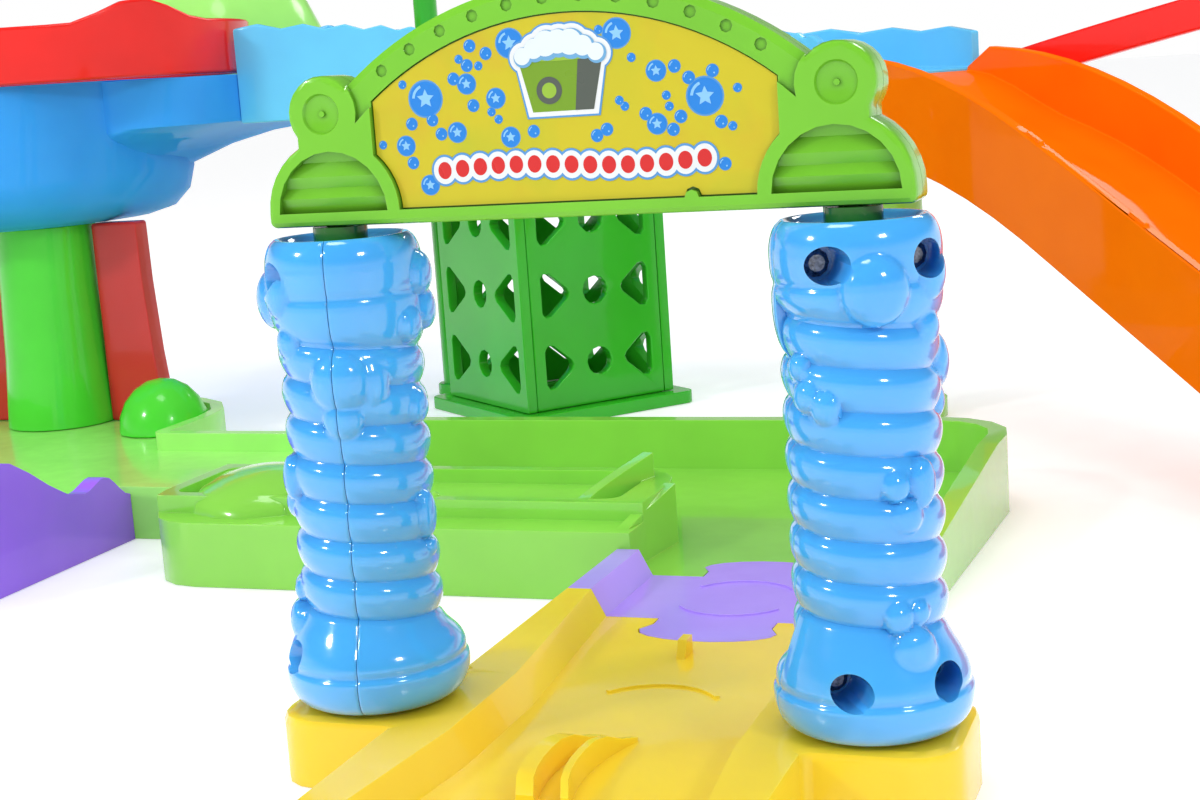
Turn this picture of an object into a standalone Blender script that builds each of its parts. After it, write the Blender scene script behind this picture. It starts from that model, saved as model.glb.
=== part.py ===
"""Toy parking garage: wash gate with two turning rollers, road tiles, base, decks, towers and ramp.

Metres, +Z up. The origin is on the floor under the middle of the wash gate. The road runs along Y,
+X is to the right of a car that drives in, and the rest of the garage stands behind the gate.
"""
import math

import bmesh
import bpy
from mathutils import Matrix, Vector

# Clearances and common moulding sizes
FIT_GAP = 0.0003
SEAM_GAP = 0.0003
CUT_OVERRUN = 0.002
WELD_DISTANCE = 0.00002
SHARP_ANGLE = math.radians(32)
ROUND_STEPS = 24
CORNER_STEPS = 4
EDGE_SEGMENTS = 2
ROUND_PROFILE = 0.5

# Road tiles
KERB_TOP = 0.017
ROAD_TOP = 0.009
ROAD_THROAT = 0.067
ROAD_MOUTH = 0.082
TILE_WIDTH = 0.096
TILE_FRONT = 0.096
TILE_BACK = 0.0945
THROAT_REACH = 0.020
KERB_SLOPE = 0.004
KERB_INNER_LIP = 0.0012
RIM_SPAN_SHARE = 0.9

# Jigsaw tabs that join the tiles
TAB_REACH = 0.019
TAB_NECK = 0.034
TAB_HEAD = 0.039
TAB_OFFSET = -0.004
TAB_WAIST_SHARE = 0.30
TAB_SHOULDER_SHARE = 0.35
TAB_STEPS = 9

# Roller pads on the gate tile
PAD_REACH = 0.0810
PAD_FRONT = 0.019
PAD_BACK = 0.022
PAD_CORNER = 0.011
PAD_EDGE = 0.0025

# Guide fins, arc and peg on the gate tile's road
FIN_HEIGHT = 0.006
FIN_RADIUS = 0.060
FIN_LENGTH_ANGLE = math.radians(44)
FIN_WIDTHS = (0.0050, 0.0022)
FIN_STARTS = (-0.0100, -0.0010)
FIN_FRONT = 0.044
FIN_STEPS = 8
FIN_TOE_SHARE = 0.15
FIN_EASE_SHARE = 0.35
FIN_LEAD_SHARE = 0.20
FIN_CREST_SHARE = 0.40
ARC_RADIUS = 0.018
ARC_WIDTH = 0.0012
ARC_HEIGHT = 0.0006
ARC_CENTRE_Y = 0.022
ARC_START = math.radians(35)
ARC_END = math.radians(145)
PEG_LENGTH = 0.009
PEG_WIDTH = 0.0024
PEG_HEIGHT = 0.0045
PEG_Y = 0.063
PEG_SLANT_SHARE = 0.45

# Posts of the gate
POST_SPACING = 0.120
POST_DIAMETER = 0.0125
POST_SOCKET_DEPTH = 0.010
POST_SPIGOT_DIAMETER = 0.0062
POST_SPIGOT_LENGTH = 0.011

# Wash rollers
ROLLER_HEIGHT = 0.110
ROLLER_LIFT = 0.0010
ROLLER_BORE = 0.0135
ROLLER_COLUMNS = 9
BUBBLE_STEPS = 8
BELL_HEIGHT = 0.022
BELL_RADIUS = 0.0218
BELL_SHARES = ((0.0, 0.81), (0.07, 0.92), (0.26, 1.0), (0.43, 0.966), (0.60, 0.945), (0.80, 0.83),
               (0.96, 0.735))
HEAD_HEIGHT = 0.024
HEAD_RADIUS = 0.0181
HEAD_SHARES = ((0.0, 0.845), (0.10, 0.93), (0.28, 0.99), (0.46, 0.965), (0.64, 1.0), (0.84, 0.975),
               (0.96, 0.90), (1.0, 0.84), (0.985, 0.77), (0.93, 0.70))
WAIST_RADIUS = 0.0153
BAND_COUNT = 7
BAND_BULGE = 0.0014
BAND_START_SHARE = 0.25
BAND_SHARES = ((0.0, -0.30), (0.20, 0.62), (0.50, 1.0), (0.80, 0.55))
LEFT_ROLLER_TURN = math.radians(-77)
RIGHT_ROLLER_TURN = math.radians(31)

# Bubbles on the rollers: shares of a half turn, the roller's height and the waist's radius, and tallness
BUBBLE_RISE_SHARE = 0.62
BUBBLE_SINK_SHARE = 0.12
SCREW_HALF_BUBBLE_SHARES = (
    (-0.033, 0.873, 0.471, 1.0), (0.233, 0.895, 0.275, 1.3), (0.239, 0.791, 0.235, 1.0),
    (-0.344, 0.673, 0.222, 1.0), (-0.256, 0.655, 0.209, 1.1), (-0.389, 0.727, 0.183, 1.0),
    (0.022, 0.5, 0.196, 1.0), (0.072, 0.44, 0.242, 1.0), (0.15, 0.5, 0.222, 1.5),
    (0.072, 0.177, 0.353, 1.0), (0.011, 0.245, 0.203, 1.0), (0.106, 0.25, 0.163, 1.0),
    (0.517, 0.709, 0.458, 1.0), (0.517, 0.632, 0.301, 1.0))
PLAIN_HALF_BUBBLE_SHARES = (
    (-0.483, 0.709, 0.458, 1.0), (-0.483, 0.632, 0.301, 1.0), (-0.322, 0.691, 0.261, 1.4),
    (-0.022, 0.914, 0.327, 1.0), (0.033, 0.836, 0.327, 1.0), (-0.122, 0.814, 0.261, 1.0),
    (-0.083, 0.636, 0.261, 1.0), (-0.094, 0.405, 0.209, 1.7), (-0.072, 0.332, 0.118, 1.0))

# Screws that clamp the roller halves
SCREW_OFFSET = 0.0106
SCREW_FOOT_RISE = 0.0125
SCREW_TOP_DROP = 0.0085
SCREW_WELL = 0.0080
SCREW_HEAD = 0.0060
SCREW_HEAD_HEIGHT = 0.0020
SCREW_SHANK = 0.0026
SCREW_SEAT = 0.0045
SCREW_GRIP = 0.0050
SCREW_STEPS = 10
SCREW_CROWN_SHARE = 0.6

# Gate arch: two shells, sign and sticker
ARCH_DEPTH = 0.013
ARCH_GAP = 0.0025
ARCH_FLANGE = 0.0032
ARCH_FLANGE_CORNER = 0.0015
CROWN_RADIUS = 0.0820
CROWN_BAND = 0.0067
BAND_STEP = 0.0010
BAND_CHAMFER = 0.0018
BAND_CHAMFER_DEPTH = 0.0012
ARCH_EDGE = 0.0012
CROWN_STEPS = 30
DOME_CENTRE = 0.0580
DOME_RADIUS = 0.0167
DOME_RIM = 0.0030
LOBE_CENTRE = 0.0590
LOBE_RISE = 0.0221
LOBE_NECK_SHARE = 0.80
LOBE_RADIUS = 0.0085
LOBE_MARGIN = 0.0003
LOBE_DISH = 0.0046
LOBE_DISH_DEPTH = 0.0012
LOBE_DISH_SHARES = ((1.0, 0.0), (0.91, 0.5), (0.52, 0.83), (0.13, 1.0))
LOBE_NUB = 0.0007
SIGN_SIDE = 0.0467
SIGN_RECESS = 0.0022
SIGN_THICKNESS = 0.0005
LOUVRE_DEPTH = 0.0022
LOUVRE_RIDGE_SHARE = 0.50
LOUVRE_SHARES = (0.0, 0.235, 0.40, 0.585, 0.82, 1.0)
DOT_COUNT = 12
DOT_RADIUS = 0.0014
DOT_DEPTH = 0.0005
DOT_HALF_SWEEP = math.radians(33.5)
DOT_STEPS = 8
NIB_RADIUS = 0.0016
NIB_X = 0.0270

# Link tile between the gate tile and the base
LINK_LENGTH = 0.043

# Base tile with the bend of the road and the island
BASE_LEFT = -0.222
BASE_RIGHT = 0.055
BASE_BACK = 0.292
BASE_KERB = 0.007
BASE_WALL_TOP = 0.028
BASE_CORNER = 0.030
ISLAND_RIGHT = -0.044
ISLAND_BACK = 0.202
ISLAND_STEP_TOP = 0.022
ISLAND_STEP_DEPTH = 0.014
ISLAND_CORNER = 0.022
ISLAND_RIM = 0.005
ISLAND_FLOOR = 0.023
ISLAND_TRAY_CORNER_SHARE = 0.8
MOUND_RADIUS = 0.028
MOUND_HEIGHT = 0.014
MOUND_X = -0.188
MOUND_Y = 0.172
WING_THICKNESS = 0.004
WING_HEIGHTS = (0.0285, 0.0360)
WING_LENGTH = 0.036
WING_STEPS = 6
WING_CURVE = 0.8
WING_HEADINGS = (math.radians(83), math.radians(72))
WING_SETBACK_SHARE = 1.6
KNOB_RADIUS = 0.0025
KNOB_HEIGHT = 0.0040
KNOB_X = -0.118
KNOB_Y = 0.158

# Left base under the deck
YARD_LEFT = -0.520
YARD_FRONT = 0.197
YARD_BACK = 0.385
YARD_BACK_RIGHT = -0.312
YARD_BACK_CORNER = 0.050
YARD_SHOULDER = 0.010
YARD_TOP = 0.012
YARD_KERB_TOP = 0.020
YARD_KERB = 0.006
YARD_CORNER = 0.020

# Deck tower
PILLAR_X = -0.410
PILLAR_Y = 0.362
PILLAR_WIDTH = 0.044
PILLAR_DEPTH = 0.012
PILLAR_FLARE = 0.004
PILLAR_LEVEL_SHARES = (0.0, 0.35, 0.7, 1.0)
PANEL_WIDTH = 0.024
PANEL_THICKNESS = 0.010
PANEL_FLARE = 0.006
DECK_BOTTOM = 0.107
DECK_TOP = 0.172
DECK_LEFT = -0.520
DECK_RIGHT = -0.318
DECK_FRONT = 0.300
DECK_BACK = 0.600
DECK_CORNER = 0.035
DECK_EDGE = 0.022
DECK_CORNER_STEPS = 6
DRUM_RIGHT = -0.357
DRUM_BACK = 0.470
DRUM_CORNER = 0.075
DRUM_SECTION_SHARES = ((0.0, 1.0), (0.046, 0.5), (0.169, 0.14), (0.338, 0.0), (1.0, 0.0))
SLAB_SECTION_SHARES = ((0.30, -0.25), (0.477, 0.05), (0.554, 0.27), (0.615, 0.65), (0.662, 1.0), (1.0, 1.0))
SLAB_DROP = 0.0008
SLAB_FRONT = 0.352
SLAB_LEFT_INSET = 0.030
RING_RADIUS = 0.088
RING_X = -0.408
RING_WALL = 0.006
RING_HEIGHT = 0.025
RING_BUMP = 0.010
RING_BUMP_TURN = math.radians(328)
RING_BUMP_SPREAD = math.radians(23)
ROOF_RADIUS = 0.060
ROOF_HEIGHT = 0.066
ROOF_LOBES = 6
ROOF_LOBE_SHARE = 0.04
ROOF_X = -0.412
ROOF_Y = 0.549
BUSH_RADIUS = 0.021
BUSH_HEIGHT = 0.024
BUSH_X = -0.341
BUSH_Y = 0.343
BUSH_RINGS = 5
BUSH_STEPS = 14

# Side link with the wavy wall
WAVY_LEFT = -0.366
WAVY_RIGHT = -0.262
WAVY_FRONT = 0.090
WAVY_WALL = 0.007
WAVY_HIGH = 0.046
WAVY_SHARES = ((0.0, 0.50), (0.28, 1.0), (0.74, 0.52), (0.86, 0.59), (1.0, 0.38))
WAVY_STEPS = 5

# Lattice tower
TOWER_YARD_GAP = 0.0508
TOWER_Y = 0.466
TOWER_HEADING = math.radians(-39.2)
TOWER_WIDTH = 0.081
TOWER_PLATE = 0.005
TOWER_FOOT = 0.006
TOWER_FOOT_REACH = 0.008
TOWER_FOOT_CORNER = 0.006
TOWER_BAYS = 4
TOWER_STRUT = 0.006
TOWER_EYE = 0.0066
TOWER_EYE_STEPS = 12
TOWER_HOLE_CORNER = 0.0030

# Elevated track and ramp
TRACK_BOTTOM = 0.148
TRACK_FLOOR_END = 0.1515
TRACK_WIDTH = 0.084
TRACK_WALL = 0.004
TRACK_TOP_START = 0.192
TRACK_TOP_END = 0.168
TRACK_SCALLOP = 0.0022
TRACK_START_Y = 0.440
TRACK_STEPS = 16
TRACK_LEFT_PULL_SHARE = 0.45
TRACK_RIGHT_PULL_SHARE = 0.40
RAMP_X = -0.0172
RAMP_Y = 0.4646
RAMP_HEADING = math.radians(-47.5)
RAMP_RUN = 0.392
RAMP_CREST = 0.150
RAMP_RUNOUT = 0.060
RAMP_STEPS = 22
RAMP_WIDTH = 0.078
RAMP_WALL = 0.0045
RAMP_FLOOR = 0.003
RAMP_SKIRT = 0.0145
RAMP_WALL_RISE = 0.024
RAMP_HEAD_RISE_SHARE = 0.44
RAMP_FAR_NOTCH = 0.009
RAMP_DEEPENING_SHARE = 0.20
RAMP_HEAD_TOP = 0.161
RAMP_FOOT_TOP = 0.027
RAMP_CLIP_SHARES = (0.385, 0.535)
RAMP_CLIP_LENGTH = 0.009
RAMP_CLIP_WIDTH = 0.002
RAMP_CLIP_RISE = 0.0012
RAMP_POST_ALONG = 0.018
RAMP_POST_ACROSS = -0.0195
RAMP_POST_RADIUS = 0.014
RAMP_POST_FOOT = 0.022
RAMP_POST_FOOT_HEIGHT = 0.008
RAIL_LENGTH = 0.150
RAIL_HEIGHT = 0.0145
RAIL_THICKNESS = 0.006
RAIL_START = 0.139
RAIL_LIFT = 0.030
RAIL_BEND = math.radians(26)
RAIL_START_TURN = math.radians(8)
RAIL_STEPS = 12
MAST_RADIUS = 0.006
MAST_TOP = 0.232
MAST_SHARE = 0.55
MAST_FOOT_RADIUS = 0.009
MAST_FOOT_HEIGHT = 0.006

# Colours of the mouldings, scene-linear
BLUE = (0.070, 0.376, 0.913)
DECK_BLUE = (0.070, 0.376, 0.980)
ARCH_GREEN = (0.230, 0.610, 0.055)
POST_GREEN = (0.030, 0.180, 0.020)
BASE_GREEN = (0.270, 0.690, 0.075)
TOWER_GREEN = (0.060, 0.440, 0.035)
YELLOW = (0.940, 0.680, 0.075)
PURPLE = (0.440, 0.290, 0.940)
RED = (0.880, 0.035, 0.025)
PANEL_RED = (0.560, 0.030, 0.030)
ORANGE = (1.000, 0.190, 0.010)
STICKER_YELLOW = (0.640, 0.560, 0.035)
STEEL = (0.45, 0.45, 0.47)

PLASTIC_ROUGHNESS = 0.22
STICKER_ROUGHNESS = 0.35
STEEL_ROUGHNESS = 0.4


def clear_scene():
    """Remove whatever the file holds."""
    for thing in list(bpy.data.objects):
        bpy.data.objects.remove(thing, do_unlink=True)


def material(name, colour, roughness=PLASTIC_ROUGHNESS, metallic=0.0):
    """One plain moulding colour."""
    found = bpy.data.materials.get(name)
    if found:
        return found
    made = bpy.data.materials.new(name)
    made.use_nodes = True
    shader = made.node_tree.nodes["Principled BSDF"]
    shader.inputs["Base Color"].default_value = (*colour, 1.0)
    shader.inputs["Roughness"].default_value = roughness
    shader.inputs["Metallic"].default_value = metallic
    return made


def make(name, shape, finish=None, place=(0, 0, 0), parent=None):
    """Turn a bmesh into a named object with smooth rounds and sharp edges."""
    bmesh.ops.recalc_face_normals(shape, faces=shape.faces)
    mesh = bpy.data.meshes.new(name)
    shape.to_mesh(mesh)
    shape.free()
    made = bpy.data.objects.new(name, mesh)
    bpy.context.scene.collection.objects.link(made)
    made.location = place
    made.parent = parent
    if finish:
        mesh.materials.append(finish)
    return made


def finish_surface(made):
    """Shade the rounds smooth and keep the corners crisp."""
    made.data.shade_smooth()
    made.data.set_sharp_from_angle(angle=SHARP_ANGLE)
    return made


def combine(target, tool, operation):
    """Apply one Boolean with a tool object and remove the tool."""
    bpy.context.view_layer.update()
    modifier = target.modifiers.new(operation.lower(), "BOOLEAN")
    modifier.operation = operation
    modifier.solver = "EXACT"
    modifier.object = tool
    graph = bpy.context.evaluated_depsgraph_get()
    result = bpy.data.meshes.new_from_object(target.evaluated_get(graph))
    target.modifiers.remove(modifier)
    weld(result)
    old = target.data
    target.data = result
    result.name = target.name
    bpy.data.meshes.remove(old)
    bpy.data.objects.remove(tool, do_unlink=True)
    return target


def weld(mesh):
    """Merge the sliver points that a Boolean leaves."""
    shape = bmesh.new()
    shape.from_mesh(mesh)
    bmesh.ops.remove_doubles(shape, verts=shape.verts, dist=WELD_DISTANCE)
    bmesh.ops.dissolve_degenerate(shape, edges=shape.edges, dist=WELD_DISTANCE)
    shape.to_mesh(mesh)
    shape.free()


def cut(target, shape, place=(0, 0, 0)):
    """Cut a bmesh out of the target."""
    return combine(target, make("cutter", shape, place=place), "DIFFERENCE")


def join(target, shape, place=(0, 0, 0)):
    """Fuse a bmesh with the target."""
    return combine(target, make("joiner", shape, place=place), "UNION")


def rounded(corners, steps=CORNER_STEPS):
    """Outline whose corners (x, y, radius) are turned by arcs."""
    outline = []
    for index, (x, y, radius) in enumerate(corners):
        here = Vector((x, y))
        if radius <= 0:
            outline.append(here)
            continue
        before = (Vector(corners[index - 1][:2]) - here).normalized()
        after = (Vector(corners[(index + 1) % len(corners)][:2]) - here).normalized()
        half = before.angle(after) / 2
        centre = here + (before + after).normalized() * (radius / math.sin(half))
        start = here + before * (radius / math.tan(half)) - centre
        end = here + after * (radius / math.tan(half)) - centre
        sweep = math.atan2(start.x * end.y - start.y * end.x, start.dot(end))
        first = math.atan2(start.y, start.x)
        for step in range(steps + 1):
            angle = first + sweep * step / steps
            outline.append(centre + radius * Vector((math.cos(angle), math.sin(angle))))
    return outline


def arc(centre_x, centre_y, radius, start, end, steps):
    """Points along an arc."""
    points = []
    for step in range(steps + 1):
        angle = start + (end - start) * step / steps
        points.append(Vector((centre_x + radius * math.cos(angle), centre_y + radius * math.sin(angle))))
    return points


def full_circle(centre_x, centre_y, radius, steps=ROUND_STEPS):
    """Points round a whole circle."""
    return arc(centre_x, centre_y, radius, 0, 2 * math.pi * (steps - 1) / steps, steps - 1)


def prism(outline, low, high):
    """Closed solid with a flat outline in X and Y, from low to high."""
    shape = bmesh.new()
    bottom = [shape.verts.new((point[0], point[1], low)) for point in outline]
    top = [shape.verts.new((point[0], point[1], high)) for point in outline]
    shape.faces.new(list(reversed(bottom)))
    shape.faces.new(top)
    for index in range(len(outline)):
        following = (index + 1) % len(outline)
        shape.faces.new((bottom[index], bottom[following], top[following], top[index]))
    bmesh.ops.recalc_face_normals(shape, faces=shape.faces)
    return shape


def upright(shape):
    """Stand a prism drawn in X and Y up, so that its outline lies in X and Z and its depth along Y."""
    bmesh.ops.rotate(shape, verts=shape.verts, cent=(0, 0, 0), matrix=Matrix.Rotation(math.pi / 2, 3, "X"))
    return shape


def facing(outline, front, back):
    """Solid with its outline in X and Z, from y = front to y = back."""
    return upright(prism(outline, -back, -front))


def block(low, high):
    """Box between two corners."""
    (x0, y0, z0), (x1, y1, z1) = low, high
    return prism([(x0, y0), (x1, y0), (x1, y1), (x0, y1)], z0, z1)


def rod(radius, low, high, steps=ROUND_STEPS):
    """Round rod along Z about the origin."""
    return prism(full_circle(0, 0, radius, steps), low, high)


def loft(rings, closed=False):
    """Skin rings of equal length, capped at both ends unless the rings close on themselves."""
    shape = bmesh.new()
    rows = [[shape.verts.new(point) for point in ring] for ring in rings]
    pairs = list(zip(rows, rows[1:]))
    if closed:
        pairs.append((rows[-1], rows[0]))
    for low, high in pairs:
        for index in range(len(low)):
            following = (index + 1) % len(low)
            shape.faces.new((low[index], low[following], high[following], high[index]))
    if not closed:
        shape.faces.new(list(reversed(rows[0])))
        shape.faces.new(rows[-1])
    bmesh.ops.recalc_face_normals(shape, faces=shape.faces)
    return shape


def dome(radius, height, rings, steps, lobes=0, lobe_share=0.0):
    """Half ellipsoid on a flat base, with soft lobes round it if asked."""
    layers = []
    for ring in range(rings):
        lift = math.pi / 2 * ring / rings
        layer = []
        for step in range(steps):
            angle = 2 * math.pi * step / steps
            reach = radius * math.cos(lift) * (1 + lobe_share * math.cos(lobes * angle))
            layer.append((reach * math.cos(angle), reach * math.sin(angle), height * math.sin(lift)))
        layers.append(layer)
    shape = bmesh.new()
    rows = [[shape.verts.new(point) for point in layer] for layer in layers]
    tip = shape.verts.new((0, 0, height))
    for low, high in zip(rows, rows[1:]):
        for index in range(steps):
            following = (index + 1) % steps
            shape.faces.new((low[index], low[following], high[following], high[index]))
    for index in range(steps):
        shape.faces.new((rows[-1][index], rows[-1][(index + 1) % steps], tip))
    shape.faces.new(list(reversed(rows[0])))
    return shape


def ease(share):
    """Smooth step from 0 to 1."""
    share = min(max(share, 0.0), 1.0)
    return share * share * (3 - 2 * share)


def tab_outline(margin=0.0):
    """Jigsaw tab that points along -Y from the origin, grown by a margin."""
    neck = TAB_NECK / 2 + margin
    head = TAB_HEAD / 2 + margin
    reach = TAB_REACH + margin
    waist = reach * TAB_WAIST_SHARE
    points = [Vector((neck, CUT_OVERRUN)), Vector((neck, -waist))]
    depth = reach - waist
    for step in range(TAB_STEPS + 1):
        angle = math.pi * step / TAB_STEPS
        side = math.cos(angle)
        bulge = TAB_SHOULDER_SHARE + (1 - TAB_SHOULDER_SHARE) * math.sin(angle)
        points.append(Vector((head * side, -waist - depth * bulge)))
    points += [Vector((-neck, -waist)), Vector((-neck, CUT_OVERRUN))]
    return points


def placed(outline, x, y, turn=0.0):
    """Outline turned about its origin and moved."""
    spin = Matrix.Rotation(turn, 2)
    return [spin @ Vector(point[:2]) + Vector((x, y)) for point in outline]


def road_cutter(front, back, throat, mouth, floor, top):
    """Space over a straight road whose kerbs open towards both ends, with sloping kerb faces."""
    stations = [(front, mouth), (-THROAT_REACH, throat), (THROAT_REACH, throat), (back, mouth)]
    if throat == mouth:
        stations = [(front, mouth), (back, mouth)]
    rings = []
    for y, width in stations:
        half = width / 2
        rings.append([(-half + KERB_SLOPE, y, floor), (half - KERB_SLOPE, y, floor),
                      (half, y, KERB_TOP), (half, y, top), (-half, y, top), (-half, y, KERB_TOP)])
    return loft(rings)


def gate_tile():
    """Yellow road tile that carries the rollers on its two pads."""
    half = TILE_WIDTH / 2
    outline = rounded([
        (-half, -TILE_FRONT, 0), (half, -TILE_FRONT, 0), (half, -PAD_FRONT, PAD_EDGE),
        (PAD_REACH, -PAD_FRONT, PAD_CORNER), (PAD_REACH, PAD_BACK, PAD_CORNER), (half, PAD_BACK, PAD_EDGE),
        (half, TILE_BACK, 0), (-half, TILE_BACK, 0), (-half, PAD_BACK, PAD_EDGE),
        (-PAD_REACH, PAD_BACK, PAD_CORNER), (-PAD_REACH, -PAD_FRONT, PAD_CORNER),
        (-half, -PAD_FRONT, PAD_EDGE)])
    shape = prism(outline, 0, KERB_TOP)
    rim = [edge for edge in shape.edges
           if all(vertex.co.z == max(point.co.z for point in shape.verts) for vertex in edge.verts)
           and all(abs(vertex.co.y) < TILE_BACK * RIM_SPAN_SHARE for vertex in edge.verts)]
    bmesh.ops.bevel(shape, geom=rim, offset=PAD_EDGE, segments=EDGE_SEGMENTS, profile=ROUND_PROFILE, affect="EDGES")
    tile = make("gate_tile", shape, material("yellow_plastic", YELLOW))
    cut(tile, road_cutter(-TILE_FRONT - CUT_OVERRUN, TILE_BACK + CUT_OVERRUN, ROAD_THROAT, ROAD_MOUTH,
                          ROAD_TOP, KERB_TOP + CUT_OVERRUN))
    for x in (-POST_SPACING / 2, POST_SPACING / 2):
        socket = rod(POST_DIAMETER / 2 + FIT_GAP, KERB_TOP - POST_SOCKET_DEPTH, KERB_TOP + CUT_OVERRUN)
        cut(tile, socket, (x, 0, 0))
    socket = tab_outline(FIT_GAP)
    cut(tile, prism(placed(socket, TAB_OFFSET, TILE_BACK), -CUT_OVERRUN, KERB_TOP))
    cut(tile, prism(placed(socket, -TAB_OFFSET, -TILE_FRONT, math.pi), -CUT_OVERRUN, KERB_TOP))
    for width, start in zip(FIN_WIDTHS, FIN_STARTS):
        join(tile, guide_fin(width, start))
    ring = arc(0, ARC_CENTRE_Y, ARC_RADIUS, ARC_START, ARC_END, FIN_STEPS)
    ring += arc(0, ARC_CENTRE_Y, ARC_RADIUS - ARC_WIDTH, ARC_END, ARC_START, FIN_STEPS)
    join(tile, prism(ring, ROAD_TOP - ARC_HEIGHT, ROAD_TOP + ARC_HEIGHT))
    peg = [(-PEG_WIDTH / 2, -PEG_LENGTH / 2), (PEG_WIDTH / 2, -PEG_LENGTH / 2), (PEG_WIDTH / 2, PEG_LENGTH / 2),
           (-PEG_WIDTH / 2, PEG_LENGTH / 2)]
    wedge = prism(placed(peg, TAB_OFFSET, PEG_Y), ROAD_TOP - PEG_WIDTH, ROAD_TOP + PEG_HEIGHT)
    for vertex in wedge.verts:
        if vertex.co.z > ROAD_TOP and vertex.co.y < PEG_Y:
            vertex.co.y += PEG_LENGTH * PEG_SLANT_SHARE
    join(tile, wedge)
    return finish_surface(tile)


def guide_fin(width, start):
    """Upright fin on the road, curved in plan, rising from the road at its back end."""
    rings = []
    for step in range(FIN_STEPS + 1):
        share = step / FIN_STEPS
        angle = FIN_LENGTH_ANGLE * (share - 0.5)
        y = FIN_RADIUS * math.sin(angle) - FIN_FRONT + FIN_RADIUS * math.sin(FIN_LENGTH_ANGLE / 2)
        x = start + FIN_RADIUS * (math.cos(angle) - 1) * -1
        rise = ease((1 - share) / FIN_EASE_SHARE) * ease((share + FIN_LEAD_SHARE) / FIN_EASE_SHARE)
        height = FIN_HEIGHT * (FIN_TOE_SHARE + (1 - FIN_TOE_SHARE) * rise)
        low = ROAD_TOP - FIN_HEIGHT / 2
        rings.append([(x - width / 2, y, low), (x + width / 2, y, low),
                      (x + width * FIN_CREST_SHARE, y, ROAD_TOP + height),
                      (x - width * FIN_CREST_SHARE, y, ROAD_TOP + height)])
    return loft(rings)


def link_tile():
    """Purple link with a tab at each end."""
    front = TILE_BACK + FIT_GAP
    back = front + LINK_LENGTH
    half = TILE_WIDTH / 2
    shape = prism([(-half, front), (half, front), (half, back), (-half, back)], 0, KERB_TOP)
    link = make("link_tile", shape, material("purple_plastic", PURPLE))
    cut(link, road_cutter(front - CUT_OVERRUN, back + CUT_OVERRUN, ROAD_MOUTH, ROAD_MOUTH,
                          ROAD_TOP, KERB_TOP + CUT_OVERRUN))
    tab = tab_outline()
    join(link, prism(placed(tab, TAB_OFFSET, front), 0, ROAD_TOP))
    join(link, prism(placed(tab, TAB_OFFSET, back, math.pi), 0, ROAD_TOP))
    middle = (front + back) / 2
    for turn in (0, math.pi):
        ring = arc(0, 0, ARC_RADIUS, ARC_START, ARC_END, FIN_STEPS)
        ring += arc(0, 0, ARC_RADIUS - ARC_WIDTH, ARC_END, ARC_START, FIN_STEPS)
        raised = prism(placed(ring, TAB_OFFSET, middle, turn), ROAD_TOP - ARC_HEIGHT, ROAD_TOP + ARC_HEIGHT)
        join(link, raised)
    return finish_surface(link)


def roller_rows():
    """Heights and radii up a roller's outer face, from the bell over the bands to the dished head."""
    rows = [(share * BELL_HEIGHT, radius * BELL_RADIUS) for share, radius in BELL_SHARES]
    pitch = band_pitch()
    for band in range(BAND_COUNT):
        for share, bulge in BAND_SHARES:
            rows.append((BELL_HEIGHT + (band + share) * pitch, WAIST_RADIUS + bulge * BAND_BULGE))
    head = ROLLER_HEIGHT - HEAD_HEIGHT
    rows += [(head + share * HEAD_HEIGHT, radius * HEAD_RADIUS) for share, radius in HEAD_SHARES]
    return rows


def band_pitch():
    """Height of one band of the rollers."""
    return (ROLLER_HEIGHT - BELL_HEIGHT - HEAD_HEIGHT) / BAND_COUNT


def roller_reach(height):
    """Mean radius of a roller at a height, for seating the bubbles."""
    rows = roller_rows()
    for (low, first), (high, second) in zip(rows, rows[1:]):
        if low <= height <= high:
            return first + (second - first) * (height - low) / (high - low)
    return HEAD_RADIUS


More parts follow.
